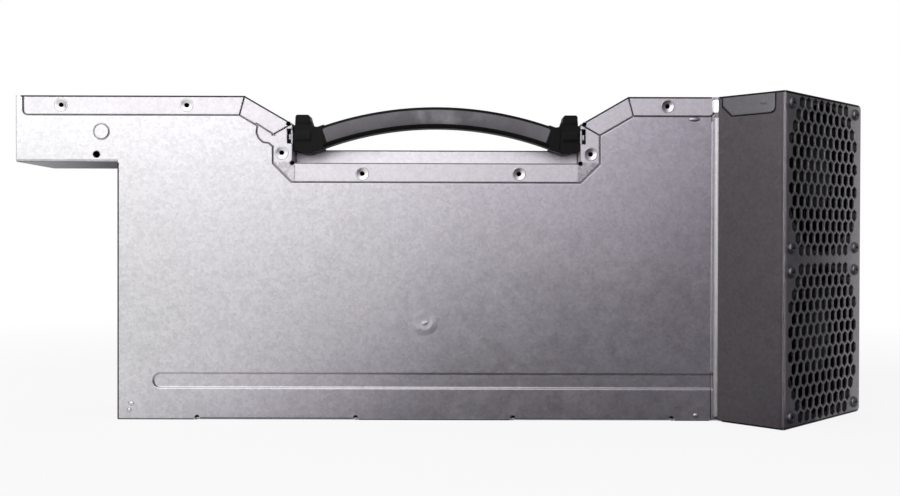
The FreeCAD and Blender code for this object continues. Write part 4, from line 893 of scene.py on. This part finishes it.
def card_material(name, level, one_sided, tinted):
    # Glow that is the product of fades along given axes: axis, start, end and the levels there
    material = bpy.data.materials.new(name)
    material.use_nodes = True
    tree = material.node_tree
    tree.nodes.clear()
    out = tree.nodes.new("ShaderNodeOutputMaterial")
    glow = tree.nodes.new("ShaderNodeEmission")
    glow.inputs["Color"].default_value = (1, 1, 1, 1)
    strength = 1.0
    for axis, start, end, low, high in level:
        source = tree.nodes.new("ShaderNodeTexCoord")
        dot = tree.nodes.new("ShaderNodeVectorMath")
        dot.operation = "DOT_PRODUCT"
        dot.inputs[1].default_value = axis
        link(tree, source.outputs["Object"], dot.inputs[0])
        fade = remap(tree, dot.outputs["Value"], start, end, low, high)
        strength = math_node(tree, "MULTIPLY", fade, strength)
        if tinted and axis[0]:
            share = remap(tree, dot.outputs["Value"], start, end, 0.0, 1.0)
            link(tree, color_mix(tree, share, COOL_TINT, WARM_TINT), glow.inputs["Color"])
    link(tree, strength, glow.inputs["Strength"])
    surface = glow.outputs[0]
    if one_sided:
        geometry = tree.nodes.new("ShaderNodeNewGeometry")
        clear = tree.nodes.new("ShaderNodeBsdfTransparent")
        pick = tree.nodes.new("ShaderNodeMixShader")
        link(tree, geometry.outputs["Backfacing"], pick.inputs["Fac"])
        link(tree, surface, pick.inputs[1])
        link(tree, clear.outputs[0], pick.inputs[2])
        surface = pick.outputs[0]
    link(tree, surface, out.inputs["Surface"])
    return material


def card(name, corners, level, one_sided=False, tinted=False):
    # Board that only reflections see: it lights nothing, casts no shadow and is out of the picture
    board = plane(name, corners, card_material(name, level, one_sided, tinted))
    board.visible_camera = False
    board.visible_diffuse = False
    board.visible_shadow = False
    board.visible_transmission = False
    board.visible_volume_scatter = False
    return board


def even(level):
    return [((0, 0, 1), 0, 1, level, level)]


def upright(x0, y0, x1, y1, low, high):
    return [(x0, y0, low), (x1, y1, low), (x1, y1, high), (x0, y0, high)]


def level_board(x0, x1, y0, y1, z):
    return [(x0, y0, z), (x1, y0, z), (x1, y1, z), (x0, y1, z)]


# Places of the floor and cards, in metres; the split runs just in front of the case
FLOOR_HALF = 4
CARD_LIFT = 0.0004
CARD_FRONT = -1.6
CARD_BACK = 1.8
CARD_SPLIT = -0.0135
CARD_LEFT = -1.5
CARD_RIGHT = 3.0
CARD_TOP = 2.6
ARM_CARD_Y = 0.09
RIGHT_CARD_X = 1.4
FLAG_X = 0.1368
APEX_REACH = APEX.dot(OUTWARD) * MM
# Sides of the card beyond the grille's far edge, in millimetres
GRILLE_CARD_X = 86.5
GRILLE_CARD_Y = -60
GRILLE_CARD_TOP = 170
grille_ends = [(0, 0), (GRILLE_CARD_Y, 0), (GRILLE_CARD_Y, GRILLE_CARD_TOP), (0, GRILLE_CARD_TOP)]
grille_corners = [in_fan_box(GRILLE_CARD_X, y, z) * MM for y, z in grille_ends]

plane("floor", level_board(-FLOOR_HALF, FLOOR_HALF, -FLOOR_HALF, FLOOR_HALF, 0), floor_material())
card("front_card", upright(CARD_LEFT, CARD_FRONT, CARD_RIGHT, CARD_FRONT, 0, CARD_TOP),
     [((-1, 0, 0), -0.75, 0.5, 0.05, 0.93), ((0, 0, 1), 0.04, 0.38, 0.30, 2.75)], tinted=True)
card("floor_card", level_board(CARD_LEFT, CARD_RIGHT, CARD_FRONT, CARD_SPLIT, CARD_LIFT),
     [((-1, -0.1, 0), 0.015, 0.20, 0.04, 0.88)], tinted=True)
card("back_card", level_board(-CARD_RIGHT, CARD_RIGHT, CARD_SPLIT, 3.0, CARD_LIFT),
     [((-1, 0, 0), 0.6, 0.95, 0.2, 0.6)])
card("left_card", upright(CARD_LEFT, CARD_FRONT, CARD_LEFT, 0.4, 0, CARD_TOP), even(0.12))
card("arm_card", upright(-0.32, ARM_CARD_Y, -0.172, ARM_CARD_Y, 0.04, 0.14),
     [((-1, 0, 0), 0.205, 0.275, 0.10, 0.55)], True)
card("grille_card", grille_corners, [(tuple(OUTWARD), APEX_REACH, APEX_REACH + 0.034, 0.36, 0.02)])
card("right_card", upright(RIGHT_CARD_X, CARD_FRONT, RIGHT_CARD_X, CARD_BACK, 0, 2.0), even(0.09))
card("top_card", level_board(CARD_LEFT, 1.5, CARD_FRONT, CARD_BACK, 2.2),
     [((0, -1, 0), -0.7, 0.1, 0.3, 1.1), ((-1, 0, 0), -0.35, 0.3, 0.2, 1.25)])
card("flag", upright(FLAG_X, -0.075, FLAG_X, CARD_SPLIT, 0, 0.22), [((0, 0, 1), 0.0, 0.16, 0.05, 0.11)], True)


# White surround that lights the object at half its shown strength
AMBIENT_LEVEL = 0.5
world = bpy.data.worlds.new("surround")
world.use_nodes = True
scene.world = world
tree = world.node_tree
tree.nodes.clear()
out = tree.nodes.new("ShaderNodeOutputWorld")
ambient = tree.nodes.new("ShaderNodeBackground")
ambient.inputs["Color"].default_value = (1, 1, 1, 1)
ambient.inputs["Strength"].default_value = AMBIENT_LEVEL
shown = tree.nodes.new("ShaderNodeBackground")
shown.inputs["Color"].default_value = (1, 1, 1, 1)
shown.inputs["Strength"].default_value = 1.0
mix = tree.nodes.new("ShaderNodeMixShader")
link(tree, seen_rays(tree), mix.inputs["Fac"])
link(tree, ambient.outputs[0], mix.inputs[1])
link(tree, shown.outputs[0], mix.inputs[2])
link(tree, mix.outputs[0], out.inputs["Surface"])


def lamp(name, place, target, size, power):
    light = bpy.data.lights.new(name, "AREA")
    light.shape = "RECTANGLE"
    light.size, light.size_y = size
    light.energy = power
    source = bpy.data.objects.new(name, light)
    source.location = place
    source.rotation_euler = (Vector(target) - Vector(place)).to_track_quat("-Z", "Y").to_euler()
    source.visible_glossy = False
    scene.collection.objects.link(source)


KEY_PLACE = (-0.85, -1.0, 1.0)
KEY_TARGET = (0, 0, 0.08)
KEY_SIZE = (1.0, 0.8)
KEY_POWER = 9
lamp("key", KEY_PLACE, KEY_TARGET, KEY_SIZE, KEY_POWER)

scene.view_settings.view_transform = "Standard"
